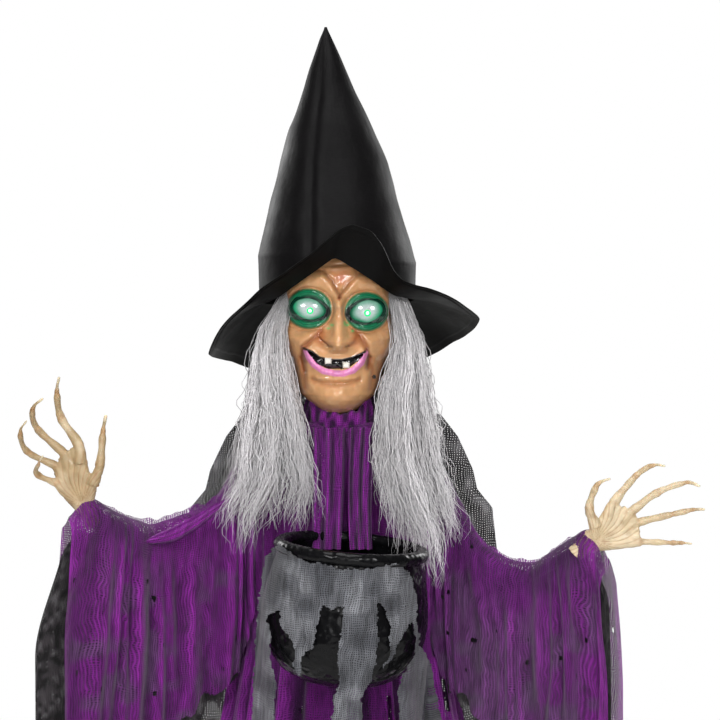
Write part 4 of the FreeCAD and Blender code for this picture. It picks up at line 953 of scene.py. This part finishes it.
def make_sleeves(cloth, lining, frill, purple):
    """Each sleeve with its lining and frill, and the swag."""
    for side, hand in (("left", -1), ("right", 1)):
        seed = 70 if side == "left" else 80
        points, uv, fold, fall, sway, u, v, ragged = hanging(side, 25, 0, 12, seed)
        open_wrist = (u > 0.86) & (fall < 30 * smooth(0.84, 0.93, u)) & (v > -0.03)
        holes = lumps(points, 9, seed + 3) > 0.80 + 0.1 * smooth(0.1, 0.4, u)
        faces = strip_faces(*fold.shape)
        faces = without(faces, ragged | open_wrist | (holes & (fall > 25)))
        crest = smooth(4, 9, fold)
        streak = np.exp(-((fold - 6) / 2.0) ** 2) * smooth(0.0, 0.5, sway + 0.2)
        grain = lumps(points, 26, seed + 5)
        edge = np.clip(np.exp(-((u - 1) / 0.03) ** 2) + np.exp(-((u - 0.05) / 0.05) ** 2), 0, 1)
        # painted shade in the fold hollows; painted light on the crests, along the highest folds and at the sleeve's
        # two ends
        layers = [(PURPLE_PAINTED_SHADE, 0.55 * smooth(0, -8, fold)),
                  (SHEER, 0.55 * smooth(0.0, 0.7, grain) * smooth(40, 140, fall)),
                  (PURPLE_PAINTED_LIGHT, 0.7 * streak), (PURPLE_PAINTED_LIGHT, 0.35 * crest), (PURPLE_PAINTED_LIGHT, 0.7 * edge),
                  ("#461A50", 0.6 * np.exp(-((u - 0.78) / 0.14) ** 2 - ((fall - 40) / 40) ** 2))]
        if side == "right":
            cuff = np.exp(-((u - 0.905) / 0.028) ** 2) * smooth(80, 40, fall)
            layers += [("#5C4A62", 0.5 * np.exp(-((u - 0.42) / 0.25) ** 2) * smooth(60, 160, fall)),
                       ("#461A50", 0.55 * smooth(120, 20, fall)), ("#8A2A94", cuff)]
        paint = tint(purple, *layers)
        sleeve = piece(f"sleeve_gauze_{side}", points, faces, cloth, uv=uv, paint=paint)
        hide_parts(f"sleeve_{side}")
        pieces = [sleeve]
        points, uv, fold, fall, sway, u, v, ragged = hanging(side, 5, -8, 46 if side == "left" else 4, seed + 7,
                                                             depth=0.2, cols=200, rows=140)
        points[..., 2] -= 7
        faces = strip_faces(*fold.shape)
        shut = ragged | ((u > 0.84) & (fall < 45)) | (fall < 8)
        faces = without(faces, shut)
        speck = lumps(points, 8, seed + 9)
        paint = tint("#3A3639", ("#151315", smooth(0, 0.5, speck)), ("#6E6B6E", 0.5 * smooth(0.2, 0.7, -speck)))
        inner = piece(f"sleeve_lining_{side}", points, faces, lining, uv=uv, paint=paint)
        pieces.append(inner)
        # a crumpled, see-through frill stands along the top edge
        cols = 260
        first, last = (0.26, 0.86) if side == "left" else (0.26, 0.82)
        top = along(SLEEVE_TOPS[side], 400)[int(first * 400):int(last * 400)]
        top = top[np.linspace(0, len(top) - 1, cols).astype(int)]
        w = np.linspace(0, 1, 9)[:, None]
        s = np.linspace(0, 1, cols)
        tall = (7 + 7 * np.clip(lumps(top, 17, seed + 11) + 0.3, 0, 1.2)) * smooth(0, 0.1, s) * smooth(1, 0.9, s)
        curl = 5 * lumps(top, 9, seed + 12)
        points = together(top[:, 0] + 0 * w, top[:, 1] - 4 + w * curl, top[:, 2] - 3 + w * tall)
        uv = together(s * 230 + 0 * w, w * 14 + 0 * s)
        paint = tint("#7A2A86", (PURPLE, np.clip(w * 0.5 + 0 * s, 0, 1)))
        made = piece(f"sleeve_frill_{side}", points, strip_faces(9, cols), frill, uv=uv, paint=paint)
        pieces.append(made)
        for one in pieces:
            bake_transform(one)
    # a folded swag of the robe lies over the left upper arm
    rows, cols = 26, 90
    middle = along([(-168, -92, 1008), (-190, -104, 994), (-218, -112, 976), (-252, -118, 960), (-298, -122, 950)],
                   cols)
    half = np.interp(np.linspace(0, 1, cols), [0, 0.25, 0.6, 0.85, 1], [7, 14, 16, 9, 1.5])
    w = np.linspace(-1, 1, rows)[:, None]
    y = middle[:, 1] - 7 * (1 - w ** 2) + 2.0 * np.sin(3 * np.pi * w + np.linspace(0, 5, cols))
    points = together(middle[:, 0] + 6 * w, y, middle[:, 2] + half * w)
    # painted shade along the lower edge and painted light along the middle
    paint = tint("#7C2388", (PURPLE_PAINTED_SHADE, smooth(-0.55, -1, w + 0 * y) * 0.9),
                 (PURPLE_PAINTED_LIGHT, 0.6 * np.exp(-((w + 0 * y) / 0.4) ** 2)))
    uv = together(np.linspace(0, 150, cols) + 0 * w, half * w)
    swag = piece("robe_swag", points, strip_faces(rows, cols), cloth, uv=uv, paint=paint)
    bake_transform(swag)


def make_collar(cloth, purple):
    """The crumpled roll round the neck."""
    rows, cols = 70, 300
    turn = full_turn(cols)
    side = np.abs((turn - 1.5 * np.pi + np.pi) % (2 * np.pi) - np.pi)
    top = np.interp(side, [0, 0.6, 1.05, 3.2], [1136, 1140, 1160, 1163])
    bottom = 1102 - 4 * np.cos(side)
    roll = full_turn(rows)[:, None]
    middle, half = (top + bottom) / 2, (top - bottom) / 2
    crumple = 2.6 * np.cos(13 * turn + 2.5 * np.sin(roll) + np.sin(3 * turn)) + 1.6 * np.cos(23 * turn - 3 * roll)
    crumple = crumple + 1.6 * lumps(together(60 * np.cos(turn) + 0 * roll, 60 * np.sin(turn) + 0 * roll,
                                              20 * np.sin(roll) + 0 * turn), 13, 90)
    r = 47 + (9 + 0.5 * crumple) * np.cos(roll)
    z = middle + (half + 0.7 * crumple) * np.sin(roll)
    x = -3 + r * np.cos(turn)
    y = -5 + r * np.sin(turn) * 1.02
    # painted shade in the hollows of the crumples and painted light on their crests
    paint = tint(purple, (PURPLE_PAINTED_SHADE, 0.9 * smooth(0.6, -2.4, crumple)), (PURPLE_PAINTED_LIGHT, 0.7 * smooth(1.2, 3.6, crumple)))
    uv = together(turn * 55 + 0 * roll, roll * 20 + 0 * turn)
    collar = piece("collar_scarf", together(x, y, z), strip_faces(rows, cols, True, True), cloth, "stand",
                   uv=uv, paint=paint)
    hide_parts("collar")


def make_bib(cloth, purple):
    """The two strips that hang from the collar into the pot."""
    for name, left, right, seed in (("left", -46, 4, 95), ("right", 12, 50, 97)):
        rows, cols = 130, 60
        t = np.linspace(0, 1, rows)[:, None]
        q = np.linspace(0, 1, cols)[None]
        z = 1116 + (938 - 1116) * t
        narrow = 1 - 0.12 * t
        x = (left + right) / 2 + (right - left) * (q - 0.5) * narrow + 3 * np.sin(t * 3 + seed)
        fold = 3.4 * np.cos(q * 17 + 1.5 * np.sin(4 * t) + seed) + 2.0 * np.cos(q * 31 + seed)
        y = np.interp(z, [938, 1000, 1060, 1116], [-116, -96, -80, -70]) - 3 + fold
        points = together(x, y, z)
        # painted shade where the folds fall back and painted light where they stand forward
        paint = tint(purple, (PURPLE_PAINTED_SHADE, 0.9 * smooth(0, 5, fold)), (PURPLE_PAINTED_LIGHT, 0.75 * smooth(-2, -5, fold)))
        strip = piece(f"bib_{name}", points, strip_faces(rows, cols), cloth, "stand",
                      uv=together((right - left) * q + 0 * z, z + 0 * q), paint=paint)
        if name == "left":
            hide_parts("bib")


# ---- pot ----
POT = {"x": 7, "y": -195, "pivot": 850, "roll": math.radians(4.8)}
# height, outside radius, before the pot is tilted
POT_SIDE = [(758, 46), (764, 66), (772, 82), (783, 95), (800, 107), (825, 116), (850, 119), (876, 117.4),
            (900, 113.6), (920, 108.5), (936, 104), (943, 103)]


def tilted(x, y, z):
    """Turns points about the pot's own middle and moves them to the pot's place."""
    up = z - POT["pivot"]
    cos, sin = math.cos(POT["roll"]), math.sin(POT["roll"])
    return together(POT["x"] + x * cos + up * sin, POT["y"] + y, POT["pivot"] - x * sin + up * cos)


def make_pot(shell):
    """The pot, turned from one profile with a rolled lip."""
    cols = 260
    turn = full_turn(cols)
    lip = [(951 + 9.5 * math.sin(a), 103 + 9.5 * math.cos(a)) for a in np.radians(np.linspace(-55, 200, 22))]
    side = along([(z, r) for z, r in POT_SIDE], 90).tolist()
    within = [(z, r - 4) for z, r in side[::-1]]
    profile = np.array([(758, 0.5), (758, 25), *side, *lip, *within, (762, 20), (762, 0.5)])
    z, r = profile[:, :1], profile[:, 1:]
    outer = (np.arange(len(profile)) < 92)[:, None]
    where = together(r * np.cos(turn), r * np.sin(turn), z + 0 * turn)
    dent = np.where(outer, 1.0 * lumps(where, 16, 100) + 0.5 * lumps(where, 7, 101), 0)
    dent = dent + 0.35 * lumps(where, 9, 102)
    r = r + dent * smooth(0, 20, r)
    points = tilted(r * np.cos(turn), r * np.sin(turn), z + 0 * turn)
    pot = piece("pot_shell", points, strip_faces(len(profile), cols, close_cols=True), shell, "stand")
    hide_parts("cauldron")


# the torn cloth over the pot, clockwise from its top left corner in the front view
POT_CLOTH = [(-85, 966), (-60, 953), (-40, 945), (-25, 947), (-8, 941), (15, 938), (50, 941), (80, 946), (100, 924),
             (110, 890), (109, 856), (114, 822), (131, 784), (140, 735), (150, 680), (134, 668), (118, 650),
             (104, 664), (92, 648), (84, 700), (80, 770), (88, 789), (105, 813), (106, 832), (100, 861), (90, 846),
             (81, 831), (76, 815), (66, 806), (60, 801), (57, 804), (71, 820), (67, 837), (69, 857), (60, 883),
             (54, 893), (52, 872), (54, 845), (50, 810), (44, 782), (30, 762), (34, 720), (26, 700), (10, 706),
             (-4, 694), (-12, 730), (-8, 765), (-1, 784), (-4, 810), (-2, 829), (2, 860), (6, 889), (-8, 884),
             (-22, 890), (-31, 857), (-35, 833), (-50, 818), (-52, 804), (-55, 786), (-62, 792), (-68, 804),
             (-62, 818), (-64, 831), (-83, 856), (-84, 877), (-104, 860), (-96, 841), (-98, 808), (-87, 775),
             (-92, 720), (-90, 660), (-104, 642), (-114, 656), (-128, 646), (-128, 700), (-126, 765), (-122, 830),
             (-119, 879), (-114, 908), (-108, 941)]


def make_pot_cloth(cloth):
    """The torn cloth, laid on the front of the pot."""
    rows, cols = 260, 230
    x, z = np.meshgrid(np.linspace(-134, 156, cols), np.linspace(970, 640, rows))
    fray = together(x, 0 * x, z)
    shown = inside(x + 2.2 * lumps(fray, 4, 110), z + 2.2 * lumps(fray, 4, 111), POT_CLOTH)
    # find the pot's surface in front of each point, allowing for its tilt
    local = (x - POT["x"]) * math.cos(POT["roll"]) - (z - POT["pivot"]) * math.sin(POT["roll"])
    up = POT["pivot"] + (x - POT["x"]) * math.sin(POT["roll"]) + (z - POT["pivot"]) * math.cos(POT["roll"])
    reach = np.interp(np.clip(up, 850, 943), *zip(*POT_SIDE)) + 4
    reach = reach + 8 * smooth(941, 951, up) * smooth(970, 955, up)
    curve = np.sqrt(np.clip(reach ** 2 - local ** 2, (0.10 * reach) ** 2, None))
    y = POT["y"] - curve
    loose = smooth(850, 740, z) + smooth(100, 118, np.abs(local))
    y = y - 2.0 * lumps(fray, 20, 112) - 1.0 * np.abs(lumps(fray, 7, 113)) - loose * 4 * np.cos(x / 5.0 + z / 60)
    faces = strip_faces(rows, cols)
    faces = faces[shown.ravel()[faces].all(axis=1)]
    patch = lumps(fray, 24, 114)
    # the last layer is painted shade, darker towards the right where the pot turns away
    paint = tint("#606166", ("#7B7C81", smooth(0.1, 0.6, patch)), ("#4C4D52", smooth(0.1, 0.7, -patch)),
                 ("#4A4A50", 0.6 * smooth(60, 110, x)))
    uv = together(np.arcsin(np.clip(local / 125, -1, 1)) * 120, z)
    made = piece("pot_cloth", together(x, y, z), faces, cloth, "stand", uv=uv, paint=paint)
    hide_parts("cauldron_gauze")


# ---- hands ----
# each point is across, towards the viewer, and up from the wrist; then the radii there
FINGERS = {
    "left": [([(14, 8, 30), (25, 10, 60), (29, 6, 108), (34, 12, 131)], [9, 6.6, 5.2, 2.0]),
             ([(-4, 6, 60), (-7, 4, 88), (-31, 8, 127), (-33, 28, 165), (-27, 44, 187)], [9, 7.4, 6.2, 4.8, 1.6]),
             ([(-14, 2, 55), (-29, 0, 75), (-66, 8, 112), (-66, 34, 142), (-49, 48, 157)], [8, 6.4, 5.6, 4.4, 1.5]),
             ([(-20, 0, 42), (-40, -2, 56), (-80, 8, 78), (-84, 36, 108), (-72, 50, 126)], [8, 5.8, 5.0, 4.0, 1.4]),
             ([(-18, 2, 24), (-38, 4, 32), (-65, 14, 46), (-57, 40, 65), (-49, 52, 76)], [7.5, 5.4, 4.6, 3.4, 1.4])],
    "right": [([(2, 8, 22), (-8, 14, 50), (2, 24, 84), (19, 34, 94)], [9, 6.6, 4.8, 1.8]),
              ([(18, 4, 34), (28, 4, 55), (60, 6, 95), (81, 18, 111), (97, 34, 112)], [8.5, 7, 5.4, 4.2, 1.7]),
              ([(34, 2, 28), (57, 2, 45), (92, 4, 71), (130, 16, 86), (147, 32, 83)], [8, 6.4, 5.6, 4.4, 1.8]),
              ([(38, 2, 14), (65, 2, 27), (113, 4, 39), (141, 14, 47), (155, 28, 49)], [8, 6.2, 5.4, 4.2, 1.8]),
              ([(36, 6, -2), (67, 8, 0), (110, 12, -1), (125, 20, 0), (137, 30, 0)], [7.5, 5.6, 4.6, 3.4, 1.6])],
}
WRISTS = {"left": (-370, -190, 1013), "right": (365, -190, 961)}
WRIST_ENDS = {"left": (12, -6, -30), "right": (-26, -6, -20)}


def make_hands(bone):
    """Two clawed hands: tubes for the bones, joined into one skin."""
    for side in ("left", "right"):
        wrist = np.array(WRISTS[side], float)

        def place(p):
            return wrist + np.array([p[0], -p[1], p[2]], float)

        lines, widths, joints, tips = [], [], [], []
        m = 40
        for path, radii in FINGERS[side]:
            joined = along([place(p) for p in path], m)
            knots = np.linspace(0, 1, len(radii))
            t = np.linspace(0, 1, m)
            bony = np.sin(np.pi * (len(radii) - 1) * t) ** 2
            lines.append(joined)
            widths.append(np.interp(t, knots, radii) * (1.06 - 0.20 * bony * smooth(0, 0.3, t)))
            joints += [place(p) for p in path[1:-1]]
            tips.append(place(path[-1]))
        heel = place(WRIST_ENDS[side])
        knuckles = [place(path[1 if i else 0]) for i, (path, _) in enumerate(FINGERS[side])]
        fans = knuckles + [(a * (1 - s) + b * s)
                           for a, b in zip(knuckles[1:], knuckles[2:]) for s in (0.33, 0.67)]
        fans += [(knuckles[0] * (1 - s) + knuckles[1] * s) for s in (0.3, 0.6)]
        for i, target in enumerate(fans):
            web = 1.0 if i < 5 else 0.82
            lines.append(np.linspace(place((0, 0, -4)), target, m))
            widths.append(np.interp(np.linspace(0, 1, m), [0, 0.4, 0.8, 1], [12, 10.5, 8.5 * web, 6.2 * web]))
        lines.append(np.linspace(heel, place((0, 0, 8)), m))
        widths.append(np.interp(np.linspace(0, 1, m), [0, 0.5, 1], [12.5, 13, 13]))
        points, faces, caps = tubes(np.array(lines), np.array(widths), 14)
        mesh = bpy.data.meshes.new("hand_raw")
        mesh.from_pydata((points * 0.001).tolist(), [], faces.tolist() + [list(c) for c in caps])
        raw = show("hand_raw", mesh)
        grid = raw.modifiers.new("grid", "REMESH")
        grid.mode, grid.voxel_size = "VOXEL", 0.0012
        calm = raw.modifiers.new("calm", "SMOOTH")
        calm.factor, calm.iterations = 0.5, 7
        made = bpy.data.meshes.new_from_object(raw.evaluated_get(bpy.context.evaluated_depsgraph_get()))
        bpy.data.objects.remove(raw)
        count = len(made.vertices)
        at = np.zeros(count * 3)
        made.vertices.foreach_get("co", at)
        at = at.reshape(-1, 3) * 1000
        normal = np.zeros(count * 3)
        made.vertices.foreach_get("normal", normal)
        normal = normal.reshape(-1, 3)
        near_joint = sum(np.exp(-((np.linalg.norm(at - j, axis=1)) / 9) ** 2) for j in joints)
        near_tip = sum(np.exp(-((np.linalg.norm(at - p, axis=1)) / 13) ** 2) for p in tips)
        away = at - wrist
        across = np.arctan2(away[:, 2], away[:, 0] * (-1 if side == "left" else 1))
        distance = np.linalg.norm(away, axis=1)
        lines_in_palm = np.cos(across * 19 + 2.4 * np.sin(distance / 17)) ** 24 * smooth(90, 30, distance)
        wrinkle = np.cos(distance / 1.9) * np.clip(near_joint, 0, 1)
        at = at - normal * (0.9 * lines_in_palm + 0.45 * wrinkle - 0.5 * lumps(at, 9, 120))[:, None]
        made.vertices.foreach_set("co", (at * 0.001).ravel())
        # painted shade: the left hand is coloured darker than the right
        base = "#AD9570" if side == "left" else "#CDB894"
        # lighter patches at random are painted highlights, and the palm lines get painted shade
        paint = tint(base, ("#E2D1B2", 0.5 * smooth(0.0, 0.8, lumps(at, 22, 121))),
                     ("#A8733F", 0.5 * smooth(0.35, 0.95, near_joint)), ("#9C6A3C", 0.7 * lines_in_palm),
                     ("#8A5A32", 0.25 * smooth(0.2, 0.7, lumps(at, 9, 122))),
                     ("#E7D9B8", 0.8 * smooth(0.35, 0.8, near_tip)))
        layer = made.color_attributes.new(name="paint", type="FLOAT_COLOR", domain="POINT")
        layer.data.foreach_set("color", np.hstack([paint, np.ones((count, 1))]).ravel())
        made.materials.clear()
        made.materials.append(bone)
        made.shade_smooth()
        hand = show(f"claw_{side}", made)
        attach(hand, f"hand_{side}")
        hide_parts(f"hand_{side}")


# ---- the parts carried over from the CAD ----
def make_hardware():
    """A finish for each material of the parts that still show."""
    finishes = {
        "stand_steel": moulded("black_powder_coat", "#1A1A1B", 0.8, 0.5, depth=0.25),
        "moulded_black": moulded("textured_black_plastic", "#1E1E1F", 0.6, 0.55, depth=0.3),
        "gear_plastic": moulded("natural_acetal", "#E6E3D8", 3.0, 0.35, depth=0.05),
        "motor_steel": moulded("zinc_plate", "#B8B8B4", 0.5, 0.35, depth=0.08, metallic=1.0),
        "shaft_steel": moulded("drawn_steel", "#B0B1B3", 0.4, 0.28, depth=0.06, metallic=1.0),
        "bronze": moulded("oiled_bronze", "#A67C3E", 0.8, 0.38, depth=0.1, metallic=1.0),
        "screw_steel": moulded("zinc_screw", "#9A9B9C", 0.5, 0.34, depth=0.08, metallic=1.0),
        "mask_skin": moulded("plain_vinyl", "#B98A5E", 1.4, 0.4, depth=0.1),
        "mouth_paint": moulded("black_liner", "#0C0A0B", 2.0, 0.3, coat=0.4),
        "board_green": moulded("solder_mask", "#1C6B3A", 1.2, 0.35, depth=0.08, coat=0.3),
        "cell_jacket": moulded("printed_foil", "#3A3D44", 1.0, 0.3, depth=0.04, metallic=0.6),
        "cable_jacket": moulded("pvc_jacket", "#181818", 1.6, 0.45, depth=0.08),
        "lens_white": moulded("milky_dome", "#E9EBEA", 2.0, 0.25, depth=0.03, coat=0.3),
        "button_red": moulded("moulded_red", "#B3201C", 1.2, 0.35, depth=0.08, coat=0.2),
    }
    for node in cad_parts.values():
        if node.hide_render:
            continue
        for place in node.material_slots:
            place.material = finishes[place.material.name]


# ---- stage ----
# metres, except for the lens in millimetres and the tilt below level in degrees
FLOOR_RADIUS = 2.45
CAMERA_PLACE, CAMERA_LENS, CAMERA_DOWN = (0.028, -2.6, 1.31), 83.85, 2.084


def make_stage(light_floor):
    """The floor, the camera, six soft lamps and the pale studio around them."""
    # the floor is a disc small enough to stay under the camera's view
    floor = bpy.data.meshes.new("floor")
    edge = [(FLOOR_RADIUS * math.cos(a), FLOOR_RADIUS * math.sin(a), 0)
            for a in np.linspace(0, 2 * math.pi, 96, endpoint=False)]
    floor.from_pydata(edge, [], [tuple(range(96))])
    floor.materials.append(light_floor)
    made = show("floor", floor)
    camera = bpy.data.cameras.new("camera")
    camera.lens, camera.sensor_width = CAMERA_LENS, 36.0
    eye = show("camera", camera)
    eye.location = CAMERA_PLACE
    eye.rotation_euler = (math.radians(90 - CAMERA_DOWN), 0, 0)
    bpy.context.scene.camera = eye
    for name, place, target, size, power in (
        ("key", (-1.1, -2.7, 2.3), (0, 0, 1.2), 0.8, 42),
        ("fill", (1.0, -2.7, 2.2), (0, 0, 1.2), 0.8, 34),
        ("front", (0, -3.2, 0.9), (0, 0, 1.0), 1.4, 20),
        ("top", (0, -0.5, 3.5), (0, 0, 1.2), 1.6, 34),
        ("rear_left", (-2.0, 1.8, 2.0), (0, 0, 1.2), 1.4, 30),
        ("rear_right", (2.0, 1.8, 2.0), (0, 0, 1.2), 1.4, 30),
    ):
        lamp = bpy.data.lights.new(name, "AREA")
        lamp.shape, lamp.size, lamp.energy = "DISK", size, power
        made = show(name, lamp)
        made.location = place
        aim = np.array(target) - np.array(place)
        made.rotation_euler = (math.atan2(math.hypot(aim[0], aim[1]), -aim[2]), 0,
                               math.atan2(aim[1], aim[0]) - math.pi / 2)
    # the studio is a white sweep behind the figure and darker where the camera stands
    world = bpy.data.worlds.new("studio")
    world.use_nodes = True
    sky = world.node_tree
    sky.nodes.clear()
    way = add(sky, "ShaderNodeTexCoord")
    split = add(sky, "ShaderNodeSeparateXYZ", {0: way.outputs["Generated"]})
    white = add(sky, "ShaderNodeMapRange", {0: split.outputs["Y"], 1: 0.6, 2: 0.8, 3: 0.11, 4: 1.0})
    air = add(sky, "ShaderNodeBackground", {0: (1, 1, 1, 1), 1: white.outputs[0]})
    add(sky, "ShaderNodeOutputWorld", {0: air.outputs[0]})
    bpy.context.scene.world = world
    bpy.context.scene.view_settings.view_transform = "Standard"


# ---- add-on ----
class WitchSettings(bpy.types.PropertyGroup):
    """Colours, the eye glow and the hair's fibre count that a user of the add-on would change."""

    skin: bpy.props.FloatVectorProperty(name="Skin", description="Base colour of the vinyl mask", subtype="COLOR",
                                        size=3, min=0, max=1, default=linear("#D09C6C")[:3])
    purple: bpy.props.FloatVectorProperty(name="Robe", description="Colour of the robe's gauze", subtype="COLOR",
                                          size=3, min=0, max=1, default=linear(PURPLE)[:3])
    grey: bpy.props.FloatVectorProperty(name="Hair", description="Lightest colour of the hair", subtype="COLOR",
                                        size=3, min=0, max=1, default=linear("#EDEAEC")[:3])
    glow: bpy.props.FloatProperty(name="Eye glow", description="Strength of the light in each eye", default=1.4,
                                  min=0, max=20)
    fibres: bpy.props.IntProperty(name="Fibres", description="Hair fibres in each lock", default=28, min=4, max=60)


class WITCH_OT_head(bpy.types.Operator):
    """Builds the mask, eyes, gums and teeth"""

    bl_idname = "witch.head"
    bl_label = "Head"

    def execute(self, context):
        make_face(painted_vinyl("airbrushed_vinyl_with_painted_shade", 0.34, 0.45, 1.2, 0.12, 0.12), context.scene.witch.skin[:])
        make_eyes(lit_lens("milky_lens", 0.0), lit_lens("led_lens", context.scene.witch.glow))
        make_mouth(moulded("gloss_black_gum", "#0C0A0C", 3.0, 0.16, coat=0.6),
                   moulded("ivory_enamel", "#DEDAD0", 2.0, 0.25, coat=0.5))
        return {"FINISHED"}


class WITCH_OT_hat(bpy.types.Operator):
    """Builds the satin hat and its floppy brim"""

    bl_idname = "witch.hat"
    bl_label = "Hat"

    def execute(self, context):
        # the brim's satin is a darker copy of the crown's, painted shade
        make_hat(satin("hat_black_satin", "#121112", "#070607"), satin("brim_black_satin_painted_shade", "#070606", "#030303"))
        return {"FINISHED"}


class WITCH_OT_hair(bpy.types.Operator):
    """Builds the frizzy grey hair in locks of single fibres"""

    bl_idname = "witch.hair"
    bl_label = "Hair"

    def execute(self, context):
        make_hair(fibre("wig_fibre"), context.scene.witch.fibres, context.scene.witch.grey[:])
        return {"FINISHED"}


class WITCH_OT_robe(bpy.types.Operator):
    """Builds the robe's body, collar and front strips, and the cape"""

    bl_idname = "witch.robe"
    bl_label = "Robe and cape"

    def execute(self, context):
        purple = context.scene.witch.purple[:]
        make_robe(gauze("robe_cheesecloth", 3.2, 0.92, 16, 0.12), purple)
        make_collar(gauze("collar_cheesecloth", 3.0, 0.97, 20, 0.05), purple)
        make_bib(gauze("bib_cheesecloth", 3.2, 0.92, 16, 0.12), purple)
        make_cape(gauze("cape_cheesecloth", 3.6, 0.9, 12, 0.16))
        return {"FINISHED"}


class WITCH_OT_sleeves(bpy.types.Operator):
    """Builds the wide sleeves, their linings and frills"""

    bl_idname = "witch.sleeves"
    bl_label = "Sleeves"

    def execute(self, context):
        make_sleeves(gauze("sleeve_cheesecloth", 3.0, 0.78, 16, 0.22), gauze("lining_cloth", 3.0, 0.97, 20, 0.02),
                     gauze("frill_cheesecloth", 3.0, 0.45, 9, 0.34), context.scene.witch.purple[:])
        return {"FINISHED"}


class WITCH_OT_pot(bpy.types.Operator):
    """Builds the hammered pot and the torn cloth over it"""

    bl_idname = "witch.pot"
    bl_label = "Pot"

    def execute(self, context):
        make_pot(hammered_gloss("hammered_black_plastic", "#0A0A0B", 11.0))
        make_pot_cloth(gauze("pot_cheesecloth", 2.8, 0.9, 12, 0.2))
        return {"FINISHED"}


class WITCH_OT_hands(bpy.types.Operator):
    """Builds the two clawed hands"""

    bl_idname = "witch.hands"
    bl_label = "Hands"

    def execute(self, context):
        make_hands(painted_vinyl("bone_vinyl", 0.5, 0.12, 1.0, 0.15, 0.08))
        return {"FINISHED"}


class WITCH_OT_hardware(bpy.types.Operator):
    """Gives the stand, drive, control box and fittings their finishes"""

    bl_idname = "witch.hardware"
    bl_label = "Hardware"

    def execute(self, context):
        make_hardware()
        return {"FINISHED"}


class WITCH_OT_stage(bpy.types.Operator):
    """Sets the floor, lights and camera"""

    bl_idname = "witch.stage"
    bl_label = "Stage"

    def execute(self, context):
        make_stage(moulded("matt_pale_floor", "#F2F2F0", 8.0, 0.8, depth=0.02, mottle=0.01))
        return {"FINISHED"}


STEPS = (WITCH_OT_head, WITCH_OT_hat, WITCH_OT_hair, WITCH_OT_robe, WITCH_OT_sleeves, WITCH_OT_pot, WITCH_OT_hands,
         WITCH_OT_hardware, WITCH_OT_stage)


class WITCH_PT_panel(bpy.types.Panel):
    """Lists the settings and one button for each group of pieces"""

    bl_idname = "WITCH_PT_panel"
    bl_label = "Witch figure"
    bl_space_type = "VIEW_3D"
    bl_region_type = "UI"
    bl_category = "Witch"

    def draw(self, context):
        for name in WitchSettings.__annotations__:
            self.layout.prop(context.scene.witch, name)
        for step in STEPS:
            self.layout.operator(step.bl_idname)


def register():
    for kind in (WitchSettings, *STEPS, WITCH_PT_panel):
        bpy.utils.register_class(kind)
    bpy.types.Scene.witch = bpy.props.PointerProperty(type=WitchSettings)


def unregister():
    del bpy.types.Scene.witch
    for kind in reversed((WitchSettings, *STEPS, WITCH_PT_panel)):
        bpy.utils.unregister_class(kind)


def main():
    register()
    for step in STEPS:
        group, name = step.bl_idname.split(".")
        getattr(getattr(bpy.ops, group), name)()


if __name__ == "__main__":
    main()
